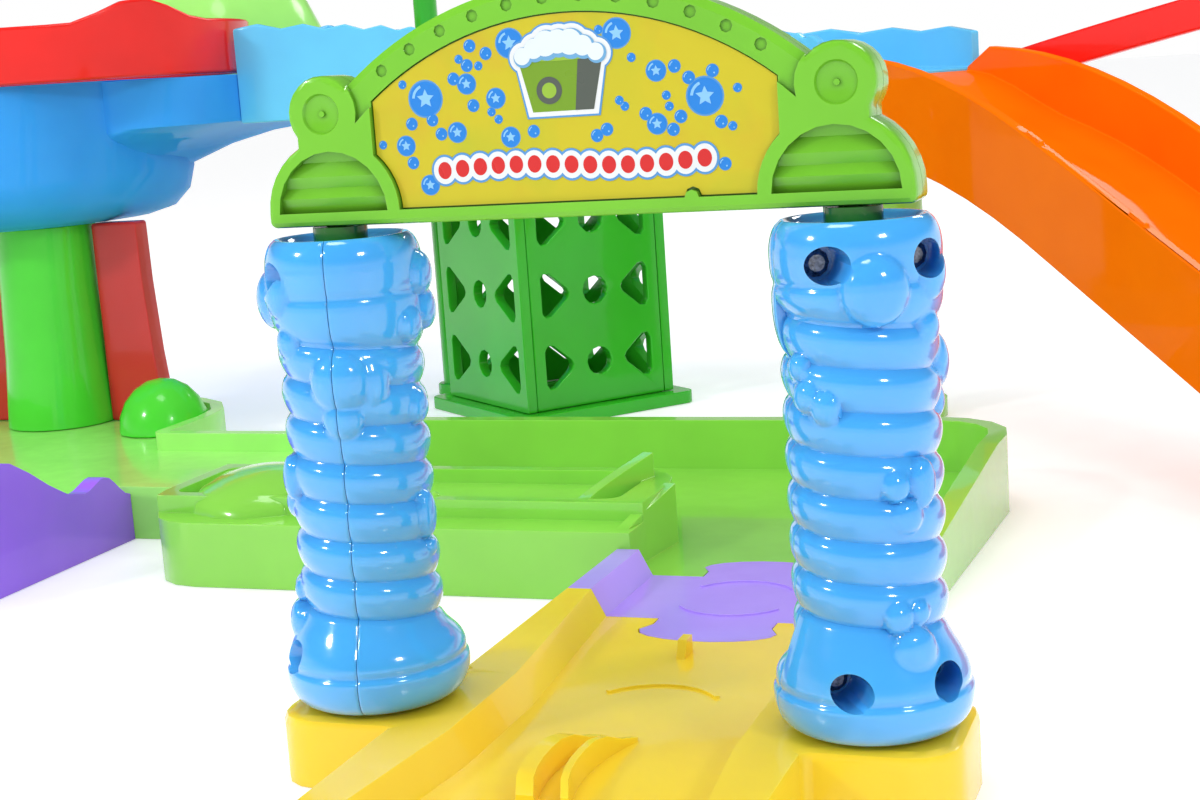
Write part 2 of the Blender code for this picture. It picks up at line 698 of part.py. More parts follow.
def roller_half(name, bubbles, turn, side, finish, parent):
    """One half shell of a roller: spiral bands, bubbles, the bore for the post and a flat seam."""
    pitch = band_pitch()
    rings = []
    for column in range(ROLLER_COLUMNS + 1):
        angle = math.pi * (column / ROLLER_COLUMNS - 0.5)
        drop = pitch * (BAND_START_SHARE - angle / (2 * math.pi)) - (pitch / 2 if side < 0 else 0)
        ring = []
        for height, radius in roller_rows():
            hold = ease(2 * height / BELL_HEIGHT - 1) * ease(2 * (ROLLER_HEIGHT - height) / HEAD_HEIGHT - 1)
            ring.append((radius * math.sin(angle), -radius * math.cos(angle), height + drop * hold))
        bore = ROLLER_BORE / 2
        top = ring[-1][2]
        ring.append((bore * math.sin(angle), -bore * math.cos(angle), top))
        ring.append((bore * math.sin(angle), -bore * math.cos(angle), 0))
        rings.append(ring)
    half = make(name, loft(rings), finish)
    for turn_share, height_share, radius_share, tall in bubbles:
        angle = math.pi * turn_share
        height = ROLLER_HEIGHT * height_share
        radius = WAIST_RADIUS * radius_share
        reach = roller_reach(height) - radius * BUBBLE_SINK_SHARE
        ball = bmesh.new()
        bmesh.ops.create_uvsphere(ball, u_segments=BUBBLE_STEPS, v_segments=BUBBLE_STEPS // 2, radius=radius)
        bmesh.ops.rotate(ball, verts=ball.verts, cent=(0, 0, 0), matrix=Matrix.Rotation(math.pi / 2, 3, "X"))
        bmesh.ops.scale(ball, verts=ball.verts, vec=(1, BUBBLE_RISE_SHARE, tall))
        bmesh.ops.rotate(ball, verts=ball.verts, cent=(0, 0, 0), matrix=Matrix.Rotation(angle, 3, "Z"))
        join(half, ball, (reach * math.sin(angle), -reach * math.cos(angle), height))
    wide = BELL_RADIUS * 2
    cut(half, block((-wide, -SEAM_GAP / 2, -wide), (wide, wide, ROLLER_HEIGHT + wide)))
    for screw in screw_axes():
        for radius, start, end in screw_bores(side):
            drill(half, radius, start, end, screw, side)
    half.rotation_euler = (0, 0, turn if side > 0 else turn + math.pi)
    half.parent = parent
    return finish_surface(half)


def screw_axes():
    """Side offset and height of each screw of a roller."""
    heights = (SCREW_FOOT_RISE, ROLLER_HEIGHT - SCREW_TOP_DROP)
    return [(offset, height) for offset in (-SCREW_OFFSET, SCREW_OFFSET) for height in heights]


def screw_bores(side):
    """Radius, start and end of each bore, measured outwards from the seam of the half."""
    if side > 0:
        return ((SCREW_WELL / 2, SCREW_SEAT, BELL_RADIUS + CUT_OVERRUN),
                (SCREW_SHANK / 2 + FIT_GAP, -CUT_OVERRUN, SCREW_SEAT + CUT_OVERRUN))
    return ((SCREW_SHANK / 2 + FIT_GAP, -CUT_OVERRUN, SCREW_GRIP + FIT_GAP),)


def drill(half, radius, start, end, screw, side):
    """Drill a bore square to the seam. The plain half is turned round, so its offsets mirror."""
    offset, height = screw
    bore = upright(rod(radius, start, end, SCREW_STEPS))
    cut(half, bore, (offset * side, 0, height))


def roller_screw(name, offset, height, turn, finish, parent):
    """One screw whose head sits in a well of the screw half."""
    seat = SCREW_SEAT + FIT_GAP
    profile = ((SCREW_SHANK / 2, -SCREW_GRIP), (SCREW_SHANK / 2, seat), (SCREW_HEAD / 2, seat),
               (SCREW_HEAD / 2, seat + SCREW_HEAD_HEIGHT / 2),
               (SCREW_HEAD / 2 * SCREW_CROWN_SHARE, seat + SCREW_HEAD_HEIGHT))
    rings = [[(point.x, point.y, level) for point in full_circle(0, 0, radius, SCREW_STEPS)]
             for radius, level in profile]
    shape = upright(loft(rings))
    bmesh.ops.translate(shape, verts=shape.verts, vec=(offset, 0, height))
    screw = make(name, shape, finish, parent=parent)
    screw.rotation_euler = (0, 0, turn)
    finish_surface(screw)


def roller(name, x, turn):
    """A roller on its vertical axle: two half shells and their screws."""
    axle = bpy.data.objects.new(name + "_axle", None)
    bpy.context.scene.collection.objects.link(axle)
    axle.location = (x, 0, KERB_TOP + ROLLER_LIFT)
    blue = material("roller_blue", BLUE)
    roller_half(name + "_screw_half", SCREW_HALF_BUBBLE_SHARES, turn, 1, blue, axle)
    roller_half(name + "_plain_half", PLAIN_HALF_BUBBLE_SHARES, turn, -1, blue, axle)
    steel = material("screw_steel", STEEL, STEEL_ROUGHNESS, 1.0)
    for number, (offset, height) in enumerate(screw_axes(), 1):
        roller_screw(f"{name}_screw_{number}", offset, height, turn, steel, axle)


def gate_posts():
    """Green posts that stand in the pads, guide the rollers and carry the arch on their shoulders."""
    low = KERB_TOP - POST_SOCKET_DEPTH + FIT_GAP
    shoulder = arch_base() - ARCH_FLANGE - FIT_GAP
    high = shoulder + POST_SPIGOT_LENGTH - FIT_GAP
    profile = ((POST_DIAMETER / 2, low), (POST_DIAMETER / 2, shoulder), (POST_SPIGOT_DIAMETER / 2, shoulder),
               (POST_SPIGOT_DIAMETER / 2, high))
    rings = [[(point.x, point.y, level) for point in full_circle(0, 0, radius)] for radius, level in profile]
    for name, x in (("gate_post_left", -POST_SPACING / 2), ("gate_post_right", POST_SPACING / 2)):
        finish_surface(make(name, loft(rings), material("post_green", POST_GREEN), (x, 0, 0)))


def arch_base():
    """Height of the arch's underside."""
    return KERB_TOP + ROLLER_LIFT + ROLLER_HEIGHT + ARCH_GAP + ARCH_FLANGE


def mirrored(points):
    """Outline of the right side followed by its mirror image on the left."""
    return points + [Vector((-point.x, point.y)) for point in reversed(points)]


def crown_drop():
    """Depth of the crown's centre below the arch's base; the crown passes through the lobes' centres."""
    return math.sqrt(CROWN_RADIUS ** 2 - LOBE_CENTRE ** 2) - LOBE_RISE


def crown_crossing():
    """Angles at which the end lobe's circle and the crown's circle cross, each about its own centre."""
    lean = math.acos(LOBE_CENTRE / CROWN_RADIUS)
    crown = math.acos(1 - LOBE_RADIUS ** 2 / (2 * CROWN_RADIUS ** 2))
    lobe = math.acos(LOBE_RADIUS / (2 * CROWN_RADIUS))
    return lean + crown, lean + math.pi - lobe


def arch_outline():
    """Whole arch in X and Z: flange, end towers with their lobes, and the crown between them."""
    base = arch_base()
    neck = LOBE_RADIUS * LOBE_NECK_SHARE
    neck_x = LOBE_CENTRE + neck
    tower_end = math.acos((neck_x - DOME_CENTRE) / DOME_RADIUS)
    lobe_start = -math.acos(LOBE_NECK_SHARE)
    crown_start, lobe_end = crown_crossing()
    end_x = DOME_CENTRE + DOME_RADIUS
    low = base - ARCH_FLANGE
    side = rounded([(0, low, 0), (end_x, low, ARCH_FLANGE_CORNER), (end_x, base, 0)])
    side = side[1:-1] + arc(DOME_CENTRE, base, DOME_RADIUS, 0, tower_end, ROUND_STEPS // 4)
    side += arc(LOBE_CENTRE, base + LOBE_RISE, LOBE_RADIUS, lobe_start, lobe_end, ROUND_STEPS // 2)
    side += arc(0, base - crown_drop(), CROWN_RADIUS, crown_start, math.pi / 2, CROWN_STEPS // 2)[1:-1]
    return mirrored(side)


def sign_outline(margin=0.0):
    """Sign between the crown band, the end towers and the flange, with the nib's notch."""
    base = arch_base() + margin
    dome_radius = DOME_RADIUS + margin
    side_x = SIGN_SIDE - margin
    crown = CROWN_RADIUS - CROWN_BAND - margin
    tower_end = math.pi - math.acos((DOME_CENTRE - side_x) / dome_radius)
    tower = arc(DOME_CENTRE, arch_base(), dome_radius, math.pi - math.asin(margin / dome_radius), tower_end,
                ROUND_STEPS // 4)
    crown_start = math.acos(side_x / crown)
    band = arc(0, arch_base() - crown_drop(), crown, crown_start, math.pi - crown_start, CROWN_STEPS)
    left = [Vector((-point.x, point.y)) for point in reversed(tower)]
    reach = NIB_RADIUS + margin
    nib = arc(NIB_X, base, reach, math.pi, 0, DOT_STEPS // 2)
    return tower + band + left + nib


def louvre_shape(side, front):
    """Space of one louvred panel: a half round whose back zigzags between grooves and ridges."""
    base = arch_base()
    radius = DOME_RADIUS - DOME_RIM
    profile = [(front - CUT_OVERRUN, base)]
    for index, share in enumerate(LOUVRE_SHARES):
        depth = LOUVRE_DEPTH if index % 2 == 0 else LOUVRE_DEPTH * LOUVRE_RIDGE_SHARE
        profile.append((front + depth, base + radius * share))
    profile.append((front - CUT_OVERRUN, base + radius))
    reach = radius + CUT_OVERRUN
    rings = [[(x, y, z) for y, z in profile] for x in (side * DOME_CENTRE - reach, side * DOME_CENTRE + reach)]
    steps = make("louvre", loft(rings))
    circle = full_circle(side * DOME_CENTRE, base, radius)
    disc = facing(circle, front - 2 * CUT_OVERRUN, front + 2 * LOUVRE_DEPTH)
    return combine(steps, make("cutter", disc), "INTERSECT")


def band_cutter(front):
    """Space before the crown's band, which lies behind the lobes' faces, with a chamfered outer edge."""
    base = arch_base() - crown_drop()
    outer = CROWN_RADIUS + CUT_OVERRUN
    inner = CROWN_RADIUS - CROWN_BAND - CUT_OVERRUN / 2
    face = front + BAND_STEP
    section = ((inner, front - CUT_OVERRUN), (inner, face), (CROWN_RADIUS - BAND_CHAMFER, face),
               (CROWN_RADIUS, face + BAND_CHAMFER_DEPTH), (outer, face + BAND_CHAMFER_DEPTH),
               (outer, front - CUT_OVERRUN))
    start = math.acos(LOBE_CENTRE / CROWN_RADIUS)
    rings = []
    for step in range(CROWN_STEPS + 1):
        angle = start + (math.pi - 2 * start) * step / CROWN_STEPS
        rings.append([(radius * math.cos(angle), y, base + radius * math.sin(angle)) for radius, y in section])
    cutter = make("band", loft(rings))
    for side in (-1, 1):
        lobe = full_circle(side * LOBE_CENTRE, arch_base() + LOBE_RISE, LOBE_RADIUS + LOBE_MARGIN)
        cut(cutter, facing(lobe, front - 2 * CUT_OVERRUN, face + 2 * BAND_CHAMFER_DEPTH))
    return cutter


def lobe_dish():
    """Shallow bowl that is sunk into a lobe's face, drawn downwards from the face."""
    rings = [[(point.x, point.y, CUT_OVERRUN) for point in full_circle(0, 0, LOBE_DISH)]]
    for reach, depth in LOBE_DISH_SHARES:
        circle = full_circle(0, 0, LOBE_DISH * reach)
        rings.append([(point.x, point.y, -LOBE_DISH_DEPTH * depth) for point in circle])
    return loft(rings)


def arch_body(name, front):
    """Outline of one arch shell with the edge round its face turned over."""
    shape = facing(arch_outline(), front, -SEAM_GAP / 2)
    rim = [edge for edge in shape.edges
           if all(abs(vertex.co.y - front) < WELD_DISTANCE for vertex in edge.verts)]
    bmesh.ops.bevel(shape, geom=rim, offset=ARCH_EDGE, segments=EDGE_SEGMENTS, profile=ROUND_PROFILE, affect="EDGES")
    return make(name, shape)


def arch_shell(name, front, dots):
    """One shell of the arch, its face towards -Y: recessed band and sign, louvres, dishes and dots."""
    shell = arch_body(name, front)
    combine(shell, band_cutter(front), "DIFFERENCE")
    cut(shell, facing(sign_outline(), front - CUT_OVERRUN, front + SIGN_RECESS))
    for side in (-1, 1):
        combine(shell, louvre_shape(side, front), "DIFFERENCE")
        centre = (side * LOBE_CENTRE, front, arch_base() + LOBE_RISE)
        cut(shell, upright(lobe_dish()), centre)
        nub = rod(LOBE_NUB, -LOBE_DISH_DEPTH - LOBE_NUB, -LOBE_DISH_DEPTH / 2, DOT_STEPS)
        join(shell, upright(nub), centre)
    for dot in range(dots):
        angle = DOT_HALF_SWEEP * (2 * dot / (dots - 1) - 1)
        reach = CROWN_RADIUS - CROWN_BAND / 2
        height = arch_base() - crown_drop() + reach * math.cos(angle)
        place = (reach * math.sin(angle), front + BAND_STEP, height)
        cut(shell, upright(rod(DOT_RADIUS, -DOT_DEPTH, CUT_OVERRUN, DOT_STEPS)), place)
    return shell


def arch():
    """The arch over the road: two shells clamped on the posts and the sign sheet."""
    front = -ARCH_DEPTH / 2
    back_shell = arch_shell("arch_back_shell", front, 0)
    back_shell.data.transform(Matrix.Rotation(math.pi, 4, "Z"))
    base = arch_base() - ARCH_FLANGE
    for shell in (arch_shell("arch_front_shell", front, DOT_COUNT), back_shell):
        for x in (-POST_SPACING / 2, POST_SPACING / 2):
            socket = rod(POST_SPIGOT_DIAMETER / 2 + FIT_GAP, base - CUT_OVERRUN, base + POST_SPIGOT_LENGTH)
            cut(shell, socket, (x, 0, 0))
        shell.data.materials.clear()
        shell.data.materials.append(material("arch_green", ARCH_GREEN))
        finish_surface(shell)
    face = front + SIGN_RECESS - FIT_GAP
    sheet = facing(sign_outline(FIT_GAP), face - SIGN_THICKNESS, face)
    finish_surface(make("sign_sticker", sheet, material("sticker_yellow", STICKER_YELLOW, STICKER_ROUGHNESS)))


def base_front():
    """Y of the base tile's front face."""
    return TILE_BACK + 2 * FIT_GAP + LINK_LENGTH


def base_tile():
    """Green base tile: the road bends left round a raised island."""
    front = base_front()
    half = TILE_WIDTH / 2
    outline = rounded([(BASE_LEFT, front, 0), (half, front, 0), (BASE_RIGHT, BASE_BACK, BASE_CORNER),
                       (BASE_LEFT, BASE_BACK, 0)])
    base = make("base_tile", prism(outline, 0, BASE_WALL_TOP), material("base_green", BASE_GREEN))
    inner = half - BASE_KERB
    lane_back = BASE_BACK - BASE_KERB
    road = rounded([(ISLAND_RIGHT, front - CUT_OVERRUN, 0), (inner, front - CUT_OVERRUN, 0),
                    (BASE_RIGHT - BASE_KERB, lane_back, BASE_CORNER - BASE_KERB),
                    (BASE_LEFT - CUT_OVERRUN, lane_back, 0),
                    (BASE_LEFT - CUT_OVERRUN, ISLAND_BACK, 0), (ISLAND_RIGHT, ISLAND_BACK, ISLAND_CORNER)])
    cut(base, prism(road, ROAD_TOP, BASE_WALL_TOP + CUT_OVERRUN))
    socket = placed(tab_outline(FIT_GAP), TAB_OFFSET, front, math.pi)
    cut(base, prism(socket, -CUT_OVERRUN, BASE_WALL_TOP))
    ramp = [(half - BASE_KERB - CUT_OVERRUN, front - CUT_OVERRUN, KERB_TOP),
            (half - BASE_KERB - CUT_OVERRUN, front - CUT_OVERRUN, BASE_WALL_TOP + CUT_OVERRUN),
            (half - BASE_KERB - CUT_OVERRUN, BASE_BACK - BASE_CORNER, BASE_WALL_TOP + CUT_OVERRUN)]
    rings = [ramp, [(BASE_RIGHT + CUT_OVERRUN, y, z) for x, y, z in ramp]]
    cut(base, loft(rings))
    step_back = front + ISLAND_STEP_DEPTH
    cut(base, block((BASE_LEFT - CUT_OVERRUN, front - CUT_OVERRUN, ISLAND_STEP_TOP),
                    (ISLAND_RIGHT + CUT_OVERRUN, step_back, BASE_WALL_TOP + CUT_OVERRUN)))
    tray = rounded([(BASE_LEFT + ISLAND_RIM, step_back + ISLAND_RIM, ISLAND_RIM),
                    (ISLAND_RIGHT - ISLAND_RIM * 2, step_back + ISLAND_RIM, ISLAND_RIM),
                    (ISLAND_RIGHT - ISLAND_RIM * 2, ISLAND_BACK - ISLAND_RIM,
                     ISLAND_CORNER * ISLAND_TRAY_CORNER_SHARE),
                    (BASE_LEFT + ISLAND_RIM, ISLAND_BACK - ISLAND_RIM, ISLAND_RIM)])
    cut(base, prism(tray, ISLAND_FLOOR, BASE_WALL_TOP + CUT_OVERRUN))
    join(base, dome(MOUND_RADIUS, MOUND_HEIGHT, BUSH_RINGS, BUSH_STEPS),
         (MOUND_X, MOUND_Y, ISLAND_FLOOR - ISLAND_RIM / 2))
    join(base, dome(KNOB_RADIUS, KNOB_HEIGHT, 2, DOT_STEPS), (KNOB_X, KNOB_Y, BASE_WALL_TOP - KNOB_RADIUS))
    join(base, wing(ISLAND_RIGHT - WING_THICKNESS, front, ISLAND_STEP_TOP, WING_HEIGHTS[0], WING_HEADINGS[0]))
    setback = ISLAND_STEP_DEPTH * WING_SETBACK_SHARE
    join(base, wing(ISLAND_RIGHT - setback, step_back, BASE_WALL_TOP, WING_HEIGHTS[1], WING_HEADINGS[1]))
    outer = [(BASE_LEFT - CUT_OVERRUN, front - CUT_OVERRUN, 0),
             (BASE_LEFT + ISLAND_CORNER, front - CUT_OVERRUN, 0),
             (BASE_LEFT - CUT_OVERRUN, front + ISLAND_CORNER, 0)]
    corner = outer[1:2] + [(point.x, point.y, 0) for point in
                           arc(BASE_LEFT + ISLAND_CORNER, front + ISLAND_CORNER, ISLAND_CORNER,
                               math.pi * 1.5, math.pi, CORNER_STEPS)] + outer[2:3] + outer[0:1]
    cut(base, prism(corner, -CUT_OVERRUN, BASE_WALL_TOP + CUT_OVERRUN))
    return finish_surface(base)


def wing(x, y, low, high, heading):
    """Kerb end that climbs to a rounded tip."""
    along = Vector((math.cos(heading), math.sin(heading)))
    across = Vector((-along.y, along.x)) * WING_THICKNESS / 2
    rings = []
    for step in range(WING_STEPS + 1):
        share = step / WING_STEPS
        middle = Vector((x, y)) + along * (WING_THICKNESS + WING_LENGTH * share)
        top = low + (high - low) * share ** WING_CURVE
        near = middle - across
        far = middle + across
        bottom = ROAD_TOP - KERB_INNER_LIP
        rings.append([(near.x, near.y, bottom), (far.x, far.y, bottom), (far.x, far.y, top),
                      (near.x, near.y, top)])
    return loft(rings)


def yard_outline(inset):
    """Outline of the yard, drawn in by an inset: wide in front and narrower behind the road."""
    left = YARD_LEFT + inset
    right = BASE_LEFT - FIT_GAP - inset
    back_right = YARD_BACK_RIGHT - inset
    front = YARD_FRONT + inset
    shoulder = BASE_BACK + YARD_SHOULDER - inset
    back = YARD_BACK - inset
    corner = YARD_CORNER - inset
    return rounded([(left, front, corner), (right, front, inset), (right, shoulder, inset),
                    (back_right, shoulder, inset), (back_right, back, YARD_BACK_CORNER - inset),
                    (left, back, corner)])


def yard():
    """Green base under the deck tower."""
    right = BASE_LEFT - FIT_GAP
    ground = make("yard_base", prism(yard_outline(0), 0, YARD_KERB_TOP), material("base_green", BASE_GREEN))
    inner = yard_outline(YARD_KERB)
    cut(ground, prism(inner, YARD_TOP, YARD_KERB_TOP + CUT_OVERRUN))
    lane = BASE_BACK - BASE_KERB
    cut(ground, block((right - 2 * YARD_KERB, ISLAND_BACK, ROAD_TOP),
                      (right + CUT_OVERRUN, lane, YARD_KERB_TOP + CUT_OVERRUN)))
    link_middle = (WAVY_LEFT + WAVY_RIGHT) / 2
    mouth = (WAVY_RIGHT - WAVY_LEFT) / 2 - BASE_KERB
    cut(ground, block((link_middle - mouth, YARD_FRONT - CUT_OVERRUN, ROAD_TOP),
                      (link_middle + mouth, YARD_FRONT + 2 * YARD_KERB, YARD_KERB_TOP + CUT_OVERRUN)))
    socket = placed(tab_outline(FIT_GAP), link_middle, YARD_FRONT, math.pi)
    cut(ground, prism(socket, -CUT_OVERRUN, YARD_KERB_TOP))
    return finish_surface(ground)


def wave_line():
    """Smooth line through the humps of the wavy wall, as shares of its length and height."""
    line = [WAVY_SHARES[0]]
    for (start, low), (end, high) in zip(WAVY_SHARES, WAVY_SHARES[1:]):
        for step in range(1, WAVY_STEPS + 1):
            share = step / WAVY_STEPS
            line.append((start + (end - start) * share, low + (high - low) * ease(share)))
    return line


def wavy_link():
    """Purple side link whose inner wall has a wavy top."""
    back = YARD_FRONT - FIT_GAP
    corners = [(WAVY_LEFT, WAVY_FRONT), (WAVY_RIGHT, WAVY_FRONT), (WAVY_RIGHT, back), (WAVY_LEFT, back)]
    base = prism(corners, 0, KERB_TOP)
    link = make("side_link", base, material("purple_plastic", PURPLE))
    cut(link, block((WAVY_LEFT + BASE_KERB, WAVY_FRONT - CUT_OVERRUN, ROAD_TOP),
                    (WAVY_RIGHT - BASE_KERB, back + CUT_OVERRUN, KERB_TOP + CUT_OVERRUN)))
    join(link, prism(placed(tab_outline(), (WAVY_LEFT + WAVY_RIGHT) / 2, back, math.pi), 0, ROAD_TOP))
    wave = [Vector((back, KERB_TOP / 2)), Vector((WAVY_FRONT, KERB_TOP / 2))]
    length = back - WAVY_FRONT
    wave += [Vector((WAVY_FRONT + length * share, WAVY_HIGH * height)) for share, height in wave_line()]
    rings = [[(x, point.x, point.y) for point in wave] for x in (WAVY_RIGHT - WAVY_WALL, WAVY_RIGHT)]
    join(link, loft(rings))
    return finish_surface(link)


def deck_tower():
    """Pillar, side panels, deck, guard ring and roof of the left tower."""
    low = YARD_TOP + FIT_GAP
    high = DECK_BOTTOM - FIT_GAP
    rings = []
    for share in PILLAR_LEVEL_SHARES:
        flare = PILLAR_FLARE * (1 - share) ** 2
        level = low + (high - low) * share
        half = PILLAR_WIDTH / 2 + flare
        ring = arc(PILLAR_X, PILLAR_Y, half, math.pi, 2 * math.pi, ROUND_STEPS // 2)
        ring += [Vector((PILLAR_X + side * half, PILLAR_Y + PILLAR_DEPTH)) for side in (1, -1)]
        rings.append([(point.x, point.y, level) for point in ring])
    finish_surface(make("deck_pillar", loft(rings), material("tower_green", TOWER_GREEN)))
    for name, side in (("deck_panel_left", -1), ("deck_panel_right", 1)):
        rings = []
        for share in PILLAR_LEVEL_SHARES:
            level = low + (high - low) * share
            inside = PILLAR_WIDTH / 2 + PILLAR_FLARE + FIT_GAP
            outside = inside + PANEL_WIDTH + PANEL_FLARE * (1 - share) ** 2
            xs = sorted((PILLAR_X + side * inside, PILLAR_X + side * outside))
            y = PILLAR_Y + PILLAR_DEPTH - PANEL_THICKNESS
            rings.append([(xs[0], y, level), (xs[1], y, level), (xs[1], y + PANEL_THICKNESS, level),
                          (xs[0], y + PANEL_THICKNESS, level)])
        finish_surface(make(name, loft(rings), material("panel_red", PANEL_RED)))
    deck()
    guard_ring()
    roof = dome(ROOF_RADIUS, ROOF_HEIGHT, BUSH_RINGS, ROUND_STEPS, ROOF_LOBES, ROOF_LOBE_SHARE)
    place = (ROOF_X, ROOF_Y, DECK_TOP - SLAB_DROP + FIT_GAP)
    finish_surface(make("deck_roof", roof, material("base_green", BASE_GREEN), place))


def deck():
    """Blue deck: a drum with a rolled lower edge, and a slab flaring out of it towards the track."""
    drum = []
    for rise, edge in DRUM_SECTION_SHARES:
        inset = DECK_EDGE * edge
        level = DECK_BOTTOM + (DECK_TOP - DECK_BOTTOM) * rise
        drum.append(deck_layer(DECK_LEFT + inset, DRUM_RIGHT - inset, DECK_FRONT + inset, DRUM_BACK - inset,
                               DRUM_CORNER - inset, level))
    body = make("deck_body", loft(drum), material("deck_blue", DECK_BLUE))
    slab = []
    for rise, spread in SLAB_SECTION_SHARES:
        right = DRUM_RIGHT + (DECK_RIGHT - DRUM_RIGHT) * spread
        back = DRUM_BACK + (DECK_BACK - DRUM_BACK) * spread
        level = DECK_BOTTOM + (DECK_TOP - SLAB_DROP - DECK_BOTTOM) * rise
        slab.append(deck_layer(DECK_LEFT + SLAB_LEFT_INSET, right, SLAB_FRONT, back, DECK_CORNER, level))
    join(body, loft(slab))
    finish_surface(body)


def deck_layer(left, right, front, back, corner, level):
    """Rounded outline of one level of the deck."""
    corners = ((left, front), (right, front), (right, back), (left, back))
    outline = rounded([(x, y, corner) for x, y in corners], DECK_CORNER_STEPS)
    return [(point.x, point.y, level) for point in outline]


def guard_ring():
    """Red guard on the deck: a round wall that rises in a crest at its front."""
    rings = []
    centre_x = RING_X
    centre_y = DECK_FRONT + RING_RADIUS + RING_WALL
    base = DECK_TOP + FIT_GAP
    for step in range(2 * ROUND_STEPS):
        angle = 2 * math.pi * step / (2 * ROUND_STEPS)
        crest = RING_BUMP * ease(1 - abs(angle - RING_BUMP_TURN) / RING_BUMP_SPREAD)
        side = Vector((math.cos(angle), math.sin(angle)))
        inner = side * (RING_RADIUS - RING_WALL)
        outer = side * RING_RADIUS
        rings.append([(centre_x + inner.x, centre_y + inner.y, base),
                      (centre_x + outer.x, centre_y + outer.y, base),
                      (centre_x + outer.x, centre_y + outer.y, base + RING_HEIGHT + crest),
                      (centre_x + inner.x, centre_y + inner.y, base + RING_HEIGHT + crest)])
    finish_surface(make("guard_ring", loft(rings, closed=True), material("guard_red", RED)))


def bush():
    """Round bush on the yard."""
    shape = dome(BUSH_RADIUS, BUSH_HEIGHT, BUSH_RINGS, BUSH_STEPS)
    made = make("yard_bush", shape, material("tower_green", TOWER_GREEN), (BUSH_X, BUSH_Y, YARD_TOP + FIT_GAP))
    finish_surface(made)


def lattice_plate(name, width, height):
    """Flat plate with a braced pattern: two triangles and a round eye in each bay."""
    shape = prism([(-width / 2, 0), (width / 2, 0), (width / 2, height), (-width / 2, height)], 0, TOWER_PLATE)
    plate = make(name, shape, material("tower_green", TOWER_GREEN))
    bay = (height - TOWER_STRUT) / TOWER_BAYS
    for level in range(TOWER_BAYS):
        low = TOWER_STRUT + level * bay
        high = low + bay - TOWER_STRUT
        for side in (-1, 1):
            outer = side * (width / 2 - TOWER_STRUT)
            inner = side * (TOWER_EYE + TOWER_STRUT)
            middle = (low + high) / 2
            corners = ((outer, low), (outer, high), (inner, middle))
            triangle = [(x, y, TOWER_HOLE_CORNER) for x, y in corners]
            cut(plate, prism(rounded(triangle, 2), -CUT_OVERRUN, TOWER_PLATE + CUT_OVERRUN))
        eye = rod(TOWER_EYE, -CUT_OVERRUN, TOWER_PLATE + CUT_OVERRUN, TOWER_EYE_STEPS)
        cut(plate, eye, (0, (low + high) / 2, 0))
    return plate


def tower_centre():
    """Middle of the lattice tower in plan, set off from the yard by the gap beside its foot's corner."""
    corner = (TOWER_WIDTH / 2 + TOWER_FOOT_REACH) * math.sqrt(2)
    reach = corner * math.cos(math.pi / 4 + TOWER_HEADING)
    return Vector((YARD_BACK_RIGHT + TOWER_YARD_GAP + reach, TOWER_Y))


def lattice_tower():
    """Four braced plates on a flanged foot, set cornerwise under the track."""
    low = TOWER_FOOT + FIT_GAP
    height = TRACK_BOTTOM - FIT_GAP - low
    half = TOWER_WIDTH / 2
    deep = TOWER_WIDTH - 2 * TOWER_PLATE - 2 * FIT_GAP
    centre = tower_centre()
    for name, width, turn in (("tower_front_plate", TOWER_WIDTH, 0), ("tower_back_plate", TOWER_WIDTH, math.pi),
                              ("tower_left_plate", deep, -math.pi / 2), ("tower_right_plate", deep, math.pi / 2)):
        plate = lattice_plate(name, width, height)
        heading = TOWER_HEADING + turn
        reach = half - TOWER_PLATE
        plate.rotation_euler = (math.pi / 2, 0, heading)
        plate.location = (centre.x + reach * math.sin(heading), centre.y - reach * math.cos(heading), low)
        finish_surface(plate)
    reach = half + TOWER_FOOT_REACH
    square = ((-reach, -reach), (reach, -reach), (reach, reach), (-reach, reach))
    corners = [(x, y, TOWER_FOOT_CORNER) for x, y in square]
    foot = placed(rounded(corners), centre.x, centre.y, TOWER_HEADING)
    finish_surface(make("tower_foot", prism(foot, 0, TOWER_FOOT), material("tower_green", TOWER_GREEN)))


def bezier(first, second, third, fourth, steps):
    """Points on a cubic curve."""
    points = []
    for step in range(steps + 1):
        t = step / steps
        s = 1 - t
        points.append(first * s ** 3 + second * (3 * s * s * t) + third * (3 * s * t * t) + fourth * t ** 3)
    return points


def channel(path, first_heading, last_heading, first, last):
    """Open road channel along a path; first and last give the floor and rim heights at its ends."""
    rings = []
    half = TRACK_WIDTH / 2
    inner = half - TRACK_WALL
    for index, point in enumerate(path):
        share = index / (len(path) - 1)
        ahead = path[min(index + 1, len(path) - 1)] - path[max(index - 1, 0)]
        if index == 0:
            ahead = first_heading
        if index == len(path) - 1:
            ahead = last_heading
        across = Vector((-ahead.y, ahead.x)).normalized()
        wave = abs(math.sin(math.pi / 2 * index))
        floor = first[0] + (last[0] - first[0]) * share
        rim = first[1] + (last[1] - first[1]) * share + TRACK_SCALLOP * wave
        section = [(-half, TRACK_BOTTOM), (half, TRACK_BOTTOM), (half, rim), (inner, rim), (inner, floor),
                   (-inner, floor), (-inner, rim), (-half, rim)]
        rings.append([(*(point + across * side), level) for side, level in section])
    return loft(rings)


